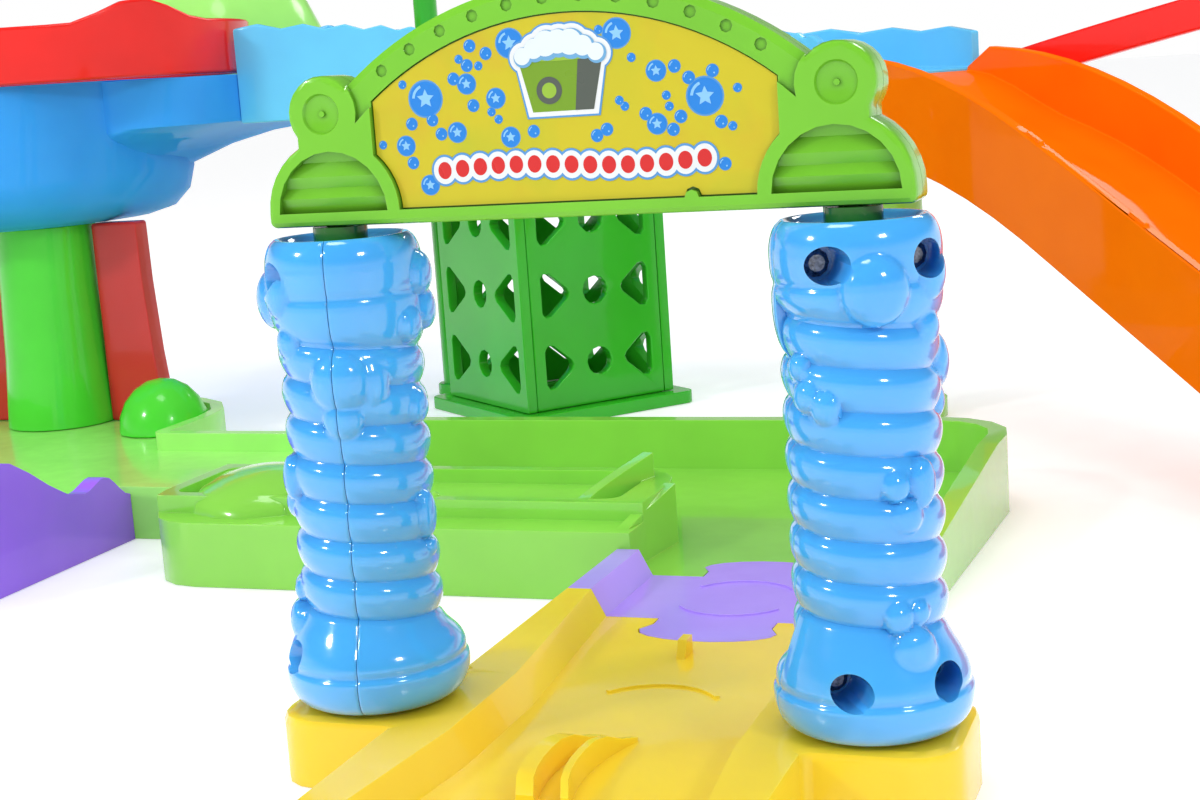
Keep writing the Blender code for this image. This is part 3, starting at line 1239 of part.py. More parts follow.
def track_paths():
    """Middle lines of the two track lengths: from the deck to the tower and from the tower to the ramp."""
    start = Vector((DECK_RIGHT + FIT_GAP, TRACK_START_Y))
    top = tower_centre()
    end = Vector((RAMP_X, RAMP_Y)) - ramp_heading() * FIT_GAP
    level = Vector((1, 0))
    half_gap = level * FIT_GAP / 2
    left_pull = level * (top.x - start.x) * TRACK_LEFT_PULL_SHARE
    right_pull = (end.x - top.x) * TRACK_RIGHT_PULL_SHARE
    left = bezier(start, start + left_pull, top - left_pull, top - half_gap, TRACK_STEPS)
    right = bezier(top + half_gap, top + level * right_pull, end - ramp_heading() * right_pull, end, TRACK_STEPS)
    return left, right


def ramp_heading():
    """Direction in plan in which the ramp runs down."""
    return Vector((math.cos(RAMP_HEADING), math.sin(RAMP_HEADING)))


def track():
    """Blue road in two lengths from the deck over the tower to the ramp."""
    level = Vector((1, 0))
    blue = material("deck_blue", DECK_BLUE)
    left, right = track_paths()
    first = (DECK_TOP, TRACK_TOP_START)
    last = (TRACK_FLOOR_END, TRACK_TOP_END)
    middle = ((first[0] + last[0]) / 2, (first[1] + last[1]) / 2)
    finish_surface(make("track_left", channel(left, level, level, first, middle), blue))
    finish_surface(make("track_right", channel(right, level, ramp_heading(), middle, last), blue))


def ramp_rim(share):
    """Height of the ramp's wall tops along its run: level crest, straight slope, soft run-out."""
    return RAMP_FOOT_TOP + (RAMP_HEAD_TOP - RAMP_FOOT_TOP) * (1 - ramp_fall(share))


def ramp_road(share):
    """Height of the ramp's road, which starts level with the track and then drops between the walls."""
    depth = RAMP_HEAD_RISE_SHARE + (1 - RAMP_HEAD_RISE_SHARE) * ease(share / RAMP_DEEPENING_SHARE)
    return ramp_rim(share) - RAMP_WALL_RISE * depth


def ramp_fall(share):
    """Share of the drop that is behind a point of the ramp's run."""
    crest = RAMP_CREST / RAMP_RUN
    runout = RAMP_RUNOUT / RAMP_RUN
    slope = 1 / (1 - crest / 2 - runout / 2)
    if share < crest:
        return slope * share * share / (2 * crest)
    if share > 1 - runout:
        return 1 - slope * (1 - share) ** 2 / (2 * runout)
    return slope * (share - crest / 2)


def ramp_levels(share):
    """Heights of the walls' lower edges, of the road's underside and of the wall tops."""
    rim = ramp_rim(share)
    skirt = max(rim - RAMP_WALL_RISE - RAMP_FLOOR - RAMP_SKIRT, 0.0)
    under = max(ramp_road(share) - RAMP_FLOOR, skirt + RAMP_FLOOR)
    return skirt, under, rim


def ramp_point(along, across):
    """Place in plan, measured along the ramp from its head and across to its far side."""
    heading = ramp_heading()
    return Vector((RAMP_X, RAMP_Y)) + heading * along + Vector((-heading.y, heading.x)) * across


def ramp():
    """Orange ramp with deep side walls."""
    half = RAMP_WIDTH / 2
    inner = half - RAMP_WALL
    rings = []
    for step in range(RAMP_STEPS + 1):
        share = step / RAMP_STEPS
        skirt, under, rim = ramp_levels(share)
        far = rim - RAMP_FAR_NOTCH if step == 0 else rim
        road = under + RAMP_FLOOR
        section = [(-half, skirt), (-inner, skirt), (-inner, under), (inner, under), (inner, skirt),
                   (half, skirt),
                   (half, far), (inner, far), (inner, road), (-inner, road), (-inner, rim), (-half, rim)]
        rings.append([(*ramp_point(RAMP_RUN * share, side), level) for side, level in section])
    made = make("ramp", loft(rings), material("ramp_orange", ORANGE))
    for share in RAMP_CLIP_SHARES:
        join(made, ramp_clip(share))
    finish_surface(made)


def ramp_clip(share):
    """Small catch that stands proud of the near wall's top."""
    rings = []
    for side in (-1, 1):
        along = RAMP_RUN * share + side * RAMP_CLIP_LENGTH / 2
        rim = ramp_rim(along / RAMP_RUN)
        outer = -RAMP_WIDTH / 2 + RAMP_CLIP_WIDTH / 2
        inner = outer + RAMP_CLIP_WIDTH
        section = ((outer, rim - RAMP_CLIP_RISE), (inner, rim - RAMP_CLIP_RISE), (inner, rim + RAMP_CLIP_RISE),
                   (outer, rim + RAMP_CLIP_RISE))
        rings.append([(*ramp_point(along, across), level) for across, level in section])
    return loft(rings)


def ramp_post():
    """Green post under the ramp's head, its top cut along the ramp's underside."""
    place = ramp_point(RAMP_POST_ALONG, RAMP_POST_ACROSS)
    green = material("base_green", BASE_GREEN)
    post = make("ramp_post", rod(RAMP_POST_RADIUS, 0, RAMP_HEAD_TOP, ROUND_STEPS), green, (place.x, place.y, 0))
    join(post, rod(RAMP_POST_FOOT, 0, RAMP_POST_FOOT_HEIGHT), (place.x, place.y, 0))
    half = RAMP_POST_RADIUS + CUT_OVERRUN
    stretch = RAMP_RUN / RAMP_STEPS
    first = math.floor((RAMP_POST_ALONG - half) / stretch)
    last = math.ceil((RAMP_POST_ALONG + half) / stretch)
    rings = []
    for step in range(first, last + 1):
        under = ramp_levels(max(step, 0) / RAMP_STEPS)[1] - FIT_GAP
        section = ((RAMP_POST_ACROSS - half, under), (RAMP_POST_ACROSS + half, under),
                   (RAMP_POST_ACROSS + half, 2 * RAMP_HEAD_TOP), (RAMP_POST_ACROSS - half, 2 * RAMP_HEAD_TOP))
        rings.append([(*ramp_point(stretch * step, across), level) for across, level in section])
    cut(post, loft(rings))
    finish_surface(post)


def mast():
    """Thin green mast that stands behind the left track, against its wall."""
    path = track_paths()[0]
    index = round(MAST_SHARE * TRACK_STEPS)
    ahead = (path[index + 1] - path[index - 1]).normalized()
    reach = TRACK_WIDTH / 2 + MAST_RADIUS + FIT_GAP
    spot = path[index] + Vector((-ahead.y, ahead.x)) * reach
    place = (spot.x, spot.y, 0)
    shape = rod(MAST_RADIUS, 0, MAST_TOP, ROUND_STEPS // 2)
    pole = make("track_mast", shape, material("tower_green", TOWER_GREEN), place)
    join(pole, rod(MAST_FOOT_RADIUS, 0, MAST_FOOT_HEIGHT, ROUND_STEPS // 2), place)
    finish_surface(pole)


def side_rail():
    """Red rail that swings away from the head of the ramp and climbs."""
    point = ramp_point(0, RAMP_WIDTH / 2 + RAIL_THICKNESS / 2 + FIT_GAP)
    rings = []
    heading = RAMP_HEADING + RAIL_START_TURN
    stride = RAIL_LENGTH / RAIL_STEPS
    for step in range(RAIL_STEPS + 1):
        low = RAIL_START + RAIL_LIFT * step / RAIL_STEPS
        side = Vector((-math.sin(heading), math.cos(heading))) * RAIL_THICKNESS / 2
        near = point - side
        far = point + side
        rings.append([(near.x, near.y, low), (far.x, far.y, low), (far.x, far.y, low + RAIL_HEIGHT),
                      (near.x, near.y, low + RAIL_HEIGHT)])
        heading += RAIL_BEND / RAIL_STEPS
        point = point + Vector((math.cos(heading), math.sin(heading))) * stride
    finish_surface(make("side_rail", loft(rings), material("guard_red", RED)))


def main():
    """Build every piece of the garage."""
    clear_scene()
    gate_tile()
    link_tile()
    gate_posts()
    roller("roller_left", -POST_SPACING / 2, LEFT_ROLLER_TURN)
    roller("roller_right", POST_SPACING / 2, RIGHT_ROLLER_TURN)
    arch()
    base_tile()
    yard()
    wavy_link()
    deck_tower()
    bush()
    lattice_tower()
    track()
    ramp()
    ramp_post()
    mast()
    side_rail()


main()
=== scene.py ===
"""Photo view of the toy parking garage: finer rollers, sign artwork, moulded plastic finishes and a white studio."""

import math

import bmesh
import bpy
import numpy as np
from mathutils import Matrix, Vector


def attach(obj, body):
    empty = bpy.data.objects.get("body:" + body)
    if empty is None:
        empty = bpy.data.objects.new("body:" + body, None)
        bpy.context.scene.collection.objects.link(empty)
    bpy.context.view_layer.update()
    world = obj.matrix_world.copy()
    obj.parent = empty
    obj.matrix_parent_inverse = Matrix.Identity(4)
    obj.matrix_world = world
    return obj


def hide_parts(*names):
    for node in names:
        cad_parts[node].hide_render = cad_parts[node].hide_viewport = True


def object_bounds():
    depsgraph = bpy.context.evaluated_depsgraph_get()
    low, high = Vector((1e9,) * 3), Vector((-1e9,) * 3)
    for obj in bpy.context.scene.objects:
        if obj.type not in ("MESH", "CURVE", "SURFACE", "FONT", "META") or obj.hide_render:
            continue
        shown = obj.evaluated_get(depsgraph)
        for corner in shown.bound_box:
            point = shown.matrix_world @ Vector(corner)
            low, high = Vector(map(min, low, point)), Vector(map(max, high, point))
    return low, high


# Photo camera, metres and degrees
CAMERA_PLACE = (0.1449, -0.3870, 0.1611)
CAMERA_YAW = 20.41
CAMERA_PITCH = 9.9
CAMERA_ROLL = -3.88
CAMERA_LENS = 56.36
SENSOR_WIDTH = 36.0
CAMERA_NEAR = 0.01
CAMERA_FAR = 60.0

# Rollers, as in the CAD
POST_SPACING = 0.120
KERB_TOP = 0.017
ROLLER_LIFT = 0.0010
ROLLER_HEIGHT = 0.110
ROLLER_BORE = 0.0135
SEAM_GAP = 0.00014
BELL_HEIGHT = 0.022
BELL_RADIUS = 0.0218
BELL_SHARES = ((0.0, 0.80), (0.03, 0.865), (0.09, 0.93), (0.18, 0.975), (0.30, 1.0), (0.40, 0.993), (0.44, 0.962),
               (0.49, 0.972), (0.60, 0.945), (0.72, 0.885), (0.86, 0.80), (1.0, 0.725))
HEAD_HEIGHT = 0.024
HEAD_RADIUS = 0.0181
HEAD_SHARES = ((0.0, 0.845), (0.05, 0.90), (0.14, 0.955), (0.28, 0.99), (0.40, 0.985), (0.46, 0.962), (0.52, 0.985),
               (0.64, 1.0), (0.78, 0.995), (0.88, 0.965), (0.955, 0.915), (1.0, 0.85))
RIM_SHARES = ((1.0, 0.82), (0.992, 0.79), (0.975, 0.765), (0.95, 0.74))
WAIST_RADIUS = 0.0153
BAND_COUNT = 7
BAND_BULGE = 0.0015
GROOVE_DEPTH = 0.0004
ROLLER_TURNS = {"roller_left": -77.0, "roller_right": 31.0}
ROLLER_COLUMNS = 84
SEAM_COLUMNS = 5
SEAM_COLUMN_SHARES = (0.08, 0.8)
ROWS_PER_BAND = 15
ROWS_PER_END = 46
BAND_LEAN = 0.80
BAND_ROUNDNESS = 0.70
SEAT_STEPS = 60
SEAM_ROUND = 0.00028
SEAM_ROUND_REACH = 0.00035
SHARP_ANGLE = math.radians(48)

# Bubbles on the rollers: degrees from the half's middle, height, radius and tallness share
BUBBLE_RISE_SHARE = 0.62
BUBBLE_SINK_SHARE = 0.10
BUBBLE_BLEND = 0.00035
SCREW_HALF_BUBBLES = (
    (-6, 0.0960, 0.0074, 1.0), (42, 0.0985, 0.0044, 1.3), (43, 0.0870, 0.0038, 1.0), (-62, 0.0740, 0.0036, 1.0),
    (-46, 0.0720, 0.0034, 1.1), (-70, 0.0800, 0.0030, 1.0), (4, 0.0550, 0.0032, 1.0), (13, 0.0484, 0.0039, 1.0),
    (27, 0.0550, 0.0036, 1.5), (13, 0.0195, 0.0056, 1.0), (2, 0.0270, 0.0034, 1.0), (19, 0.0275, 0.0027, 1.0),
    (93, 0.0780, 0.0072, 1.0), (93, 0.0695, 0.0048, 1.0))
PLAIN_HALF_BUBBLES = (
    (-87, 0.0780, 0.0072, 1.0), (-87, 0.0695, 0.0048, 1.0), (-60, 0.0770, 0.0042, 1.4), (-4, 0.1005, 0.0052, 1.0),
    (6, 0.0920, 0.0052, 1.0), (-22, 0.0895, 0.0042, 1.0), (-15, 0.0700, 0.0042, 1.0), (-17, 0.0445, 0.0034, 1.7),
    (-13, 0.0365, 0.0020, 1.0))

# Screw wells of the rollers
SCREW_OFFSET = 0.0106
SCREW_HEIGHTS = (0.0125, 0.1015)
SCREW_WELL = 0.0080
SCREW_SEAT = 0.0045
WELL_REACH_SHARE = 1.2
WELL_STEPS = 40

# Arch sign, as in the CAD
ARCH_BASE = 0.1337
SIGN_FACE = -0.0051
CROWN_DROP = 0.03485
CROWN_INNER = 0.0753
DOME_CENTRE = 0.0580
DOME_RADIUS = 0.0167
SIGN_SIDE = 0.0467

# Artwork of the sign: thin layers of print, lowest first
PRINT_STEP = 0.00003
PRINT_THICK_SHARE = 0.8
PRINT_ROUND_STEPS = 28
PRINT_SMALL_STEPS = 10
LAYER_STAGGER_SHARE = 0.013
(RING_LAYER, BUBBLE_LAYER, GLINT_LAYER, EDGE_LAYER, WHITE_LAYER, ART_LAYER, SHADE_LAYER, DISC_LAYER, RIM_LAYER,
 FOAM_SHADE_LAYER, FOAM_LAYER) = range(1, 12)

# Bucket of foam; the shares are of the bucket's top half width or its height
BUCKET_X = -0.0010
BUCKET_Z = 0.1592
BUCKET_TOP = 0.0098
BUCKET_FOOT = 0.0070
BUCKET_TALL = 0.0118
BUCKET_BORDER = 0.0010
BUCKET_EDGE_SHARE = 1.4
SHADE_TOP_SHARE = 0.42
SHADE_FOOT_SHARE = 0.40
DISC_SHARE = 0.30
DISC_DROP_SHARE = 0.12
DISC_HOLE_SHARE = 0.17
RIM_TALL_SHARE = 0.10
FOAM_COUNT = 7
FOAM_SIZE = 0.0034
FOAM_TAPER = 0.35
FOAM_SMALLER = 0.9
FOAM_SPREAD_SHARE = 0.86
FOAM_RISE_SHARE = 0.75
FOAM_LIT_SHARE = 0.84
FOAM_LIT_SHIFT = (-0.10, 0.12)

# Row of beads
BEAD_COUNT = 15
BEAD_WIDTH = 0.0016
BEAD_HEIGHT = 0.0019
BEAD_LEFT = -0.0300
BEAD_RIGHT = 0.0300
BEAD_LEVEL = 0.1418
BEAD_SWAY = 0.0006
BEAD_WHITE = 0.0011
BEAD_EDGE = 0.0016

# Printed bubbles by rank, largest first; spacings are gaps to the nearest bubble in sums of radii
BUBBLE_SIZES = (0.0038, 0.0030, 0.0021, 0.0013, 0.0009)
BUBBLE_COUNTS = (2, 4, 8, 20, 14)
BUBBLE_SPACINGS = (3.4, 3.4, 1.7, 0.95, 0.95)
BUBBLE_GATHERED = 1.35
BUBBLE_ANYWHERE = 99.0
BUBBLE_ALONE = 9.0
BUBBLE_FREE_RANKS = 3
BUBBLE_FREE_EVERY = 4
BUBBLE_TRIES = 900
BUBBLE_STRIDE = 377
BUBBLE_RANK_SHIFT = 17
BUBBLE_FIELD = (0.0475, 0.0225)
BUBBLE_FIELD_LEVEL = 0.1545
BUBBLE_MARGIN = 0.0010
RING_SHARE = 1.10
GLINT_SHARE = 0.84
GLINT_WIDTH_SHARE = 0.16
GLINT_ANGLES = (math.radians(110), math.radians(175))
STAR_RANKS = 3
STAR_SHARE = 0.56
STAR_NOTCH_SHARE = 0.48
SPARK_SHARE = 0.15
SPARK_SHIFT = (0.30, -0.34)

# Studio: lamps by place, aim, width in metres and power in watts
LAMPS = (
    ("top_light", (-0.2, -0.1, 1.5), (-0.1, 0.2, 0.05), 0.50, 3.0),
    ("left_light", (-1.0, -0.8, 0.8), (-0.1, 0.15, 0.1), 0.16, 5.5),
    ("right_light", (1.0, -0.7, 0.8), (0, 0.1, 0.1), 0.20, 4.0),
    ("back_light", (0.4, 1.7, 1.2), (-0.1, 0.3, 0.1), 0.50, 4.0))
LAMP_HEIGHT_SHARE = 0.7
WHITE = (1.0, 1.0, 1.0, 1.0)
SURROUND_STRENGTH = 0.86
SURROUND_COLOUR = (0.98, 0.99, 1.0, 1.0)
SURROUND_WHITE_TO = 0.06
SURROUND_DARK_FROM = 0.28
SURROUND_DARK = 0.12
FLOOR_REACH = 14.0
FLOOR_CUTS = 6
FLOOR_GAP = 0.0002
FLOOR_LIFT = 0.32
FLOOR_TONES = ((0.90, 0.90, 0.905), (0.93, 0.93, 0.93))
FLOOR_TONE_SCALE = 30.0
FLOOR_GLOSS_SCALE = 60.0
FLOOR_GLOSS = (0.42, 0.55)

# Plastic finish
CLOUD_SCALE = 26.0
GLOSS_SCALE = 120.0
GLOSS_SHARES = (0.85, 1.2)
COAT_ROUGHNESS = 0.035
SCATTER_DEPTH = 0.004
# Painted shade: ambient occlusion darkens the colour in hollows, creases and between bands
PAINTED_SHADE_REACH = 0.007
PAINTED_SHADE_SAMPLES = 6
PAINTED_SHADE_RANGE = (0.35, 0.95)

# Printed film of the sign and plated screws: noise scales per metre, ranges of the noise, relief in metres
FILM_WARM_SCALE = 70.0
FILM_WARM_RANGE = (0.52, 0.80)
FILM_GREEN_SCALE = 52.0
FILM_GREEN_WARP = 0.6
FILM_GREEN_RANGE = (0.50, 0.80)
FILM_GLOSS_SCALE = 300.0
FILM_GLOSS = (0.34, 0.46)
FILM_RELIEF_SCALE = 60.0
FILM_RELIEF = 0.00002
STEEL_SCUFF_SCALE = 900.0
STEEL_GLOSS_SCALE = 1500.0
STEEL_GLOSS = (0.25, 0.5)
STEEL_RELIEF_SCALE = 1800.0
STEEL_RELIEF = 0.00003

# Sockets of the Mix node for colours
MIX_FIRST = 6
MIX_SECOND = 7
MIX_RESULT = 2

# Edge rounding of the mouldings
EDGE_WIDTHS = {
    "arch_front_shell": 0.0006, "arch_back_shell": 0.0006, "gate_tile": 0.0007, "link_tile": 0.0006,
    "base_tile": 0.0009, "yard_base": 0.0012, "side_link": 0.0010, "deck_body": 0.0015, "guard_ring": 0.0015,
    "ramp": 0.0012, "track_left": 0.0010, "track_right": 0.0010, "side_rail": 0.0012, "tower_foot": 0.0012,
    "tower_front_plate": 0.0008, "tower_back_plate": 0.0008, "tower_left_plate": 0.0008, "tower_right_plate": 0.0008,
    "deck_panel_left": 0.0012, "deck_panel_right": 0.0012, "deck_pillar": 0.0012, "ramp_post": 0.0012,
    "track_mast": 0.0006, "gate_post_left": 0.0004, "gate_post_right": 0.0004, "deck_roof": 0.0010,
    "yard_bush": 0.0008}
EDGE_ANGLE = math.radians(33)
EDGE_SEGMENTS = 3
EDGE_NORMAL_WEIGHT = 80
WELD_DISTANCE = 0.00002


def srgb(red, green, blue):
    """Scene-linear colour from a screen colour given as 0 to 255."""
    return tuple(((value / 255 + 0.055) / 1.055) ** 2.4 if value > 10 else value / 255 / 12.92
                 for value in (red, green, blue))


def shaded(colour, share):
    """The same colour darkened or lightened by a share."""
    return tuple(min(value * share, 1.0) for value in colour)


class Sheet:
    """Short way to wire a node material."""

    def __init__(self, name):
        self.material = bpy.data.materials.new(name)
        self.material.use_nodes = True
        self.nodes = self.material.node_tree.nodes
        self.links = self.material.node_tree.links
        self.shader = self.nodes["Principled BSDF"]

    def add(self, kind, **settings):
        """Add a node and set its sockets and properties by name."""
        node = self.nodes.new(kind)
        for key, value in settings.items():
            if key in node.inputs:
                node.inputs[key].default_value = value
            else:
                setattr(node, key, value)
        return node

    def link(self, source, target):
        """Join two sockets."""
        self.links.new(source, target)


def place_texture(sheet):
    """Coordinates fixed to the object, in metres."""
    return sheet.add("ShaderNodeTexCoord").outputs["Object"]


def noise(sheet, scale, detail=2.0, roughness=0.5, distortion=0.0):
    """Noise in object space."""
    node = sheet.add("ShaderNodeTexNoise", Scale=scale, Detail=detail, Roughness=roughness, Distortion=distortion)
    sheet.link(place_texture(sheet), node.inputs["Vector"])
    return node.outputs["Fac"]


def spread(sheet, source, low, high, start=0.3, end=0.7):
    """Map a noise value onto a range."""
    node = sheet.add("ShaderNodeMapRange")
    node.inputs["From Min"].default_value = start
    node.inputs["From Max"].default_value = end
    node.inputs["To Min"].default_value = low
    node.inputs["To Max"].default_value = high
    sheet.link(source, node.inputs["Value"])
    return node.outputs["Result"]


def mixed(sheet, factor, first, second):
    """Mix two colours by a factor."""
    node = sheet.add("ShaderNodeMix", data_type="RGBA")
    sheet.link(factor, node.inputs["Factor"])
    for socket, colour in ((node.inputs[MIX_FIRST], first), (node.inputs[MIX_SECOND], second)):
        if isinstance(colour, tuple):
            socket.default_value = (*colour, 1.0)
        else:
            sheet.link(colour, socket)
    return node.outputs[MIX_RESULT]


def bumps(sheet, scale, distance, detail=2.0, under=None):
    """Normal of a surface with fine relief, over another relief if there is one."""
    node = sheet.add("ShaderNodeBump", Strength=1.0, Distance=distance)
    sheet.link(noise(sheet, scale, detail), node.inputs["Height"])
    if under is not None:
        sheet.link(under, node.inputs["Normal"])
    return node.outputs["Normal"]


def plastic(name, colour, cloud=0.06, roughness=0.22, coat=0.30, wave=0.00006, wave_scale=70.0,
            grain=0.0000006, grain_scale=700.0, scatter=0.12, sheen=0.30, painted_shade=1.0):
    """Glossy moulded plastic: soft clouds in the colour, painted shade that darkens the hollows, flow waves and a
    fine grain.
    """
    sheet = Sheet(name)
    clouds = spread(sheet, noise(sheet, CLOUD_SCALE, detail=3.0), 0.0, 1.0)
    tint = mixed(sheet, clouds, shaded(colour, 1 - cloud), shaded(colour, 1 + cloud))
    # Painted shade: the colour is darkened where ambient occlusion finds hollows and creases.
    if painted_shade < 1:
        corners = sheet.add("ShaderNodeAmbientOcclusion", samples=PAINTED_SHADE_SAMPLES, Distance=PAINTED_SHADE_REACH)
        unshaded_share = spread(sheet, corners.outputs["AO"], 0.0, 1.0, *PAINTED_SHADE_RANGE)
        tint = mixed(sheet, unshaded_share, shaded(colour, painted_shade), tint)
    sheet.link(tint, sheet.shader.inputs["Base Color"])
    low, high = (roughness * share for share in GLOSS_SHARES)
    sheet.link(spread(sheet, noise(sheet, GLOSS_SCALE), low, high), sheet.shader.inputs["Roughness"])
    sheet.shader.inputs["Coat Weight"].default_value = coat
    sheet.shader.inputs["Coat Roughness"].default_value = COAT_ROUGHNESS
    sheet.shader.inputs["Specular IOR Level"].default_value = sheen
    sheet.shader.inputs["Subsurface Weight"].default_value = scatter
    sheet.shader.inputs["Subsurface Scale"].default_value = SCATTER_DEPTH
    sheet.shader.inputs["Subsurface Radius"].default_value = (1.0, 1.0, 1.0)
    broad = bumps(sheet, wave_scale, wave)
    sheet.link(bumps(sheet, grain_scale, grain, under=broad), sheet.shader.inputs["Normal"])
    return sheet.material


def printed(name, colour, cloud=0.03):
    """Printed film: even colour with a faint print grain."""
    return plastic(name, colour, cloud=cloud, roughness=0.3, coat=0.25, wave=0.00003, scatter=0.0)


def sticker_film():
    """Printed film of the sign: yellow with soft orange and green mottling."""
    sheet = Sheet("sticker_film")
    warm = spread(sheet, noise(sheet, FILM_WARM_SCALE, detail=3.0), 0.0, 1.0, *FILM_WARM_RANGE)
    green = spread(sheet, noise(sheet, FILM_GREEN_SCALE, distortion=FILM_GREEN_WARP), 0.0, 1.0, *FILM_GREEN_RANGE)
    tint = mixed(sheet, warm, STICKER_YELLOW, STICKER_ORANGE)
    sheet.link(mixed(sheet, green, tint, STICKER_GREEN), sheet.shader.inputs["Base Color"])
    gloss = spread(sheet, noise(sheet, FILM_GLOSS_SCALE, detail=3.0), *FILM_GLOSS)
    sheet.link(gloss, sheet.shader.inputs["Roughness"])
    sheet.link(bumps(sheet, FILM_RELIEF_SCALE, FILM_RELIEF), sheet.shader.inputs["Normal"])
    return sheet.material


def screw_steel():
    """Plated screw with scuffs."""
    sheet = Sheet("plated_screw")
    scuffs = spread(sheet, noise(sheet, STEEL_SCUFF_SCALE, detail=5.0, roughness=0.7), 0.0, 1.0)
    sheet.link(mixed(sheet, scuffs, STEEL_DARK, STEEL_LIGHT), sheet.shader.inputs["Base Color"])
    gloss = spread(sheet, noise(sheet, STEEL_GLOSS_SCALE, detail=4.0), *STEEL_GLOSS)
    sheet.link(gloss, sheet.shader.inputs["Roughness"])
    sheet.shader.inputs["Metallic"].default_value = 1.0
    sheet.link(bumps(sheet, STEEL_RELIEF_SCALE, STEEL_RELIEF, detail=3.0), sheet.shader.inputs["Normal"])
    return sheet.material


ROLLER_BLUE = srgb(72, 176, 255)
TRACK_BLUE = srgb(104, 204, 255)
DECK_BLUE = srgb(62, 164, 255)
ARCH_GREEN = srgb(120, 198, 48)
# Painted shade: the gate posts get a dark green for the shade they stand in under the arch.
POST_GREEN_IN_PAINTED_SHADE = srgb(36, 108, 26)
BASE_GREEN = srgb(142, 218, 78)
YARD_GREEN = srgb(168, 244, 120)
TOWER_GREEN = srgb(50, 182, 36)
PILLAR_GREEN = srgb(82, 216, 56)
TILE_YELLOW = srgb(255, 215, 50)
LINK_PURPLE = srgb(178, 146, 255)
SIDE_PURPLE = srgb(160, 106, 255)
GUARD_RED = srgb(244, 32, 26)
PANEL_RED = srgb(214, 48, 46)
RAMP_ORANGE = srgb(255, 116, 5)
STICKER_YELLOW = srgb(206, 192, 24)
STICKER_ORANGE = srgb(208, 178, 30)
STICKER_GREEN = srgb(188, 190, 30)
STEEL_DARK = srgb(70, 70, 76)
STEEL_LIGHT = srgb(165, 165, 170)
INKS = {
    "bubble_blue": srgb(34, 132, 222), "bubble_light": srgb(140, 200, 246), "print_white": srgb(232, 236, 238),
    "bucket_green": srgb(118, 160, 34), "bucket_dark": srgb(84, 92, 84), "bucket_rim": srgb(150, 190, 60),
    "foam_white": srgb(226, 236, 242), "foam_blue": srgb(110, 170, 214), "bead_red": srgb(214, 40, 40),
    "bubble_edge": srgb(86, 152, 214)}


def object_of(name, shape):
    """Object in the scene from a bmesh."""
    mesh = bpy.data.meshes.new(name)
    shape.to_mesh(mesh)
    shape.free()
    made = bpy.data.objects.new(name, mesh)
    bpy.context.scene.collection.objects.link(made)
    return made


def build(name, shape, material, body):
    """Object from a bmesh, riding on a body."""
    made = object_of(name, shape)
    made.data.materials.append(material)
    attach(made, body)
    return made


def soften(piece, width):
    """Round the edges of a CAD piece and shade it smoothly."""
    piece.data.shade_smooth()
    weld = piece.modifiers.new("weld", "WELD")
    weld.merge_threshold = WELD_DISTANCE
    bevel = piece.modifiers.new("bevel", "BEVEL")
    bevel.width = width
    bevel.segments = EDGE_SEGMENTS
    bevel.limit_method = "ANGLE"
    bevel.angle_limit = EDGE_ANGLE
    bevel.miter_outer = "MITER_ARC"
    bevel.use_clamp_overlap = True
    normals = piece.modifiers.new("normals", "WEIGHTED_NORMAL")
    normals.weight = EDGE_NORMAL_WEIGHT


def curve_through(points, count):
    """Smooth heights and radii through profile points."""
    known = np.array(points, float)
    steps = np.concatenate([[0], np.cumsum(np.hypot(*np.diff(known, axis=0).T))])
    samples = np.linspace(0, steps[-1], count)
    slopes = np.gradient(known, steps, axis=0)
    result = []
    for value in samples:
        index = min(int(np.searchsorted(steps, value, side="right")) - 1, len(steps) - 2)
        width = steps[index + 1] - steps[index]
        t = (value - steps[index]) / width
        first = (1 + 2 * t) * (1 - t) ** 2 * known[index] + t * (1 - t) ** 2 * width * slopes[index]
        second = t * t * (3 - 2 * t) * known[index + 1] + t * t * (t - 1) * width * slopes[index + 1]
        result.append(first + second)
    return np.array(result)


def band_pitch():
    """Height of one band of the rollers."""
    return (ROLLER_HEIGHT - BELL_HEIGHT - HEAD_HEIGHT) / BAND_COUNT


def roller_profile():
    """Heights and radii of a roller's outer face, bottom to top, with rounded bands and tight grooves."""
    bell = curve_through([(share * BELL_HEIGHT, radius * BELL_RADIUS) for share, radius in BELL_SHARES], ROWS_PER_END)
    head = ROLLER_HEIGHT - HEAD_HEIGHT
    top = curve_through([(head + share * HEAD_HEIGHT, radius * HEAD_RADIUS) for share, radius in HEAD_SHARES],
                        ROWS_PER_END)
    rows = list(bell[:-1])
    for band in range(BAND_COUNT):
        for row in range(ROWS_PER_BAND):
            share = (row + 0.5) / ROWS_PER_BAND
            lean = 1 - (1 - share) ** BAND_LEAN
            round_share = math.sin(math.pi * lean) ** BAND_ROUNDNESS
            height = BELL_HEIGHT + (band + share) * band_pitch()
            rows.append((height, WAIST_RADIUS - GROOVE_DEPTH + (BAND_BULGE + GROOVE_DEPTH) * round_share))
    rows += list(top[1:])
    return np.array(rows)


def ease(values):
    """Smooth step from 0 to 1."""
    values = np.clip(values, 0, 1)
    return values * values * (3 - 2 * values)


def smooth_peak(first, second, width):
    """Larger of two heights with a small fillet between them."""
    share = np.clip(0.5 + 0.5 * (first - second) / width, 0, 1)
    return second * (1 - share) + first * share + width * share * (1 - share)


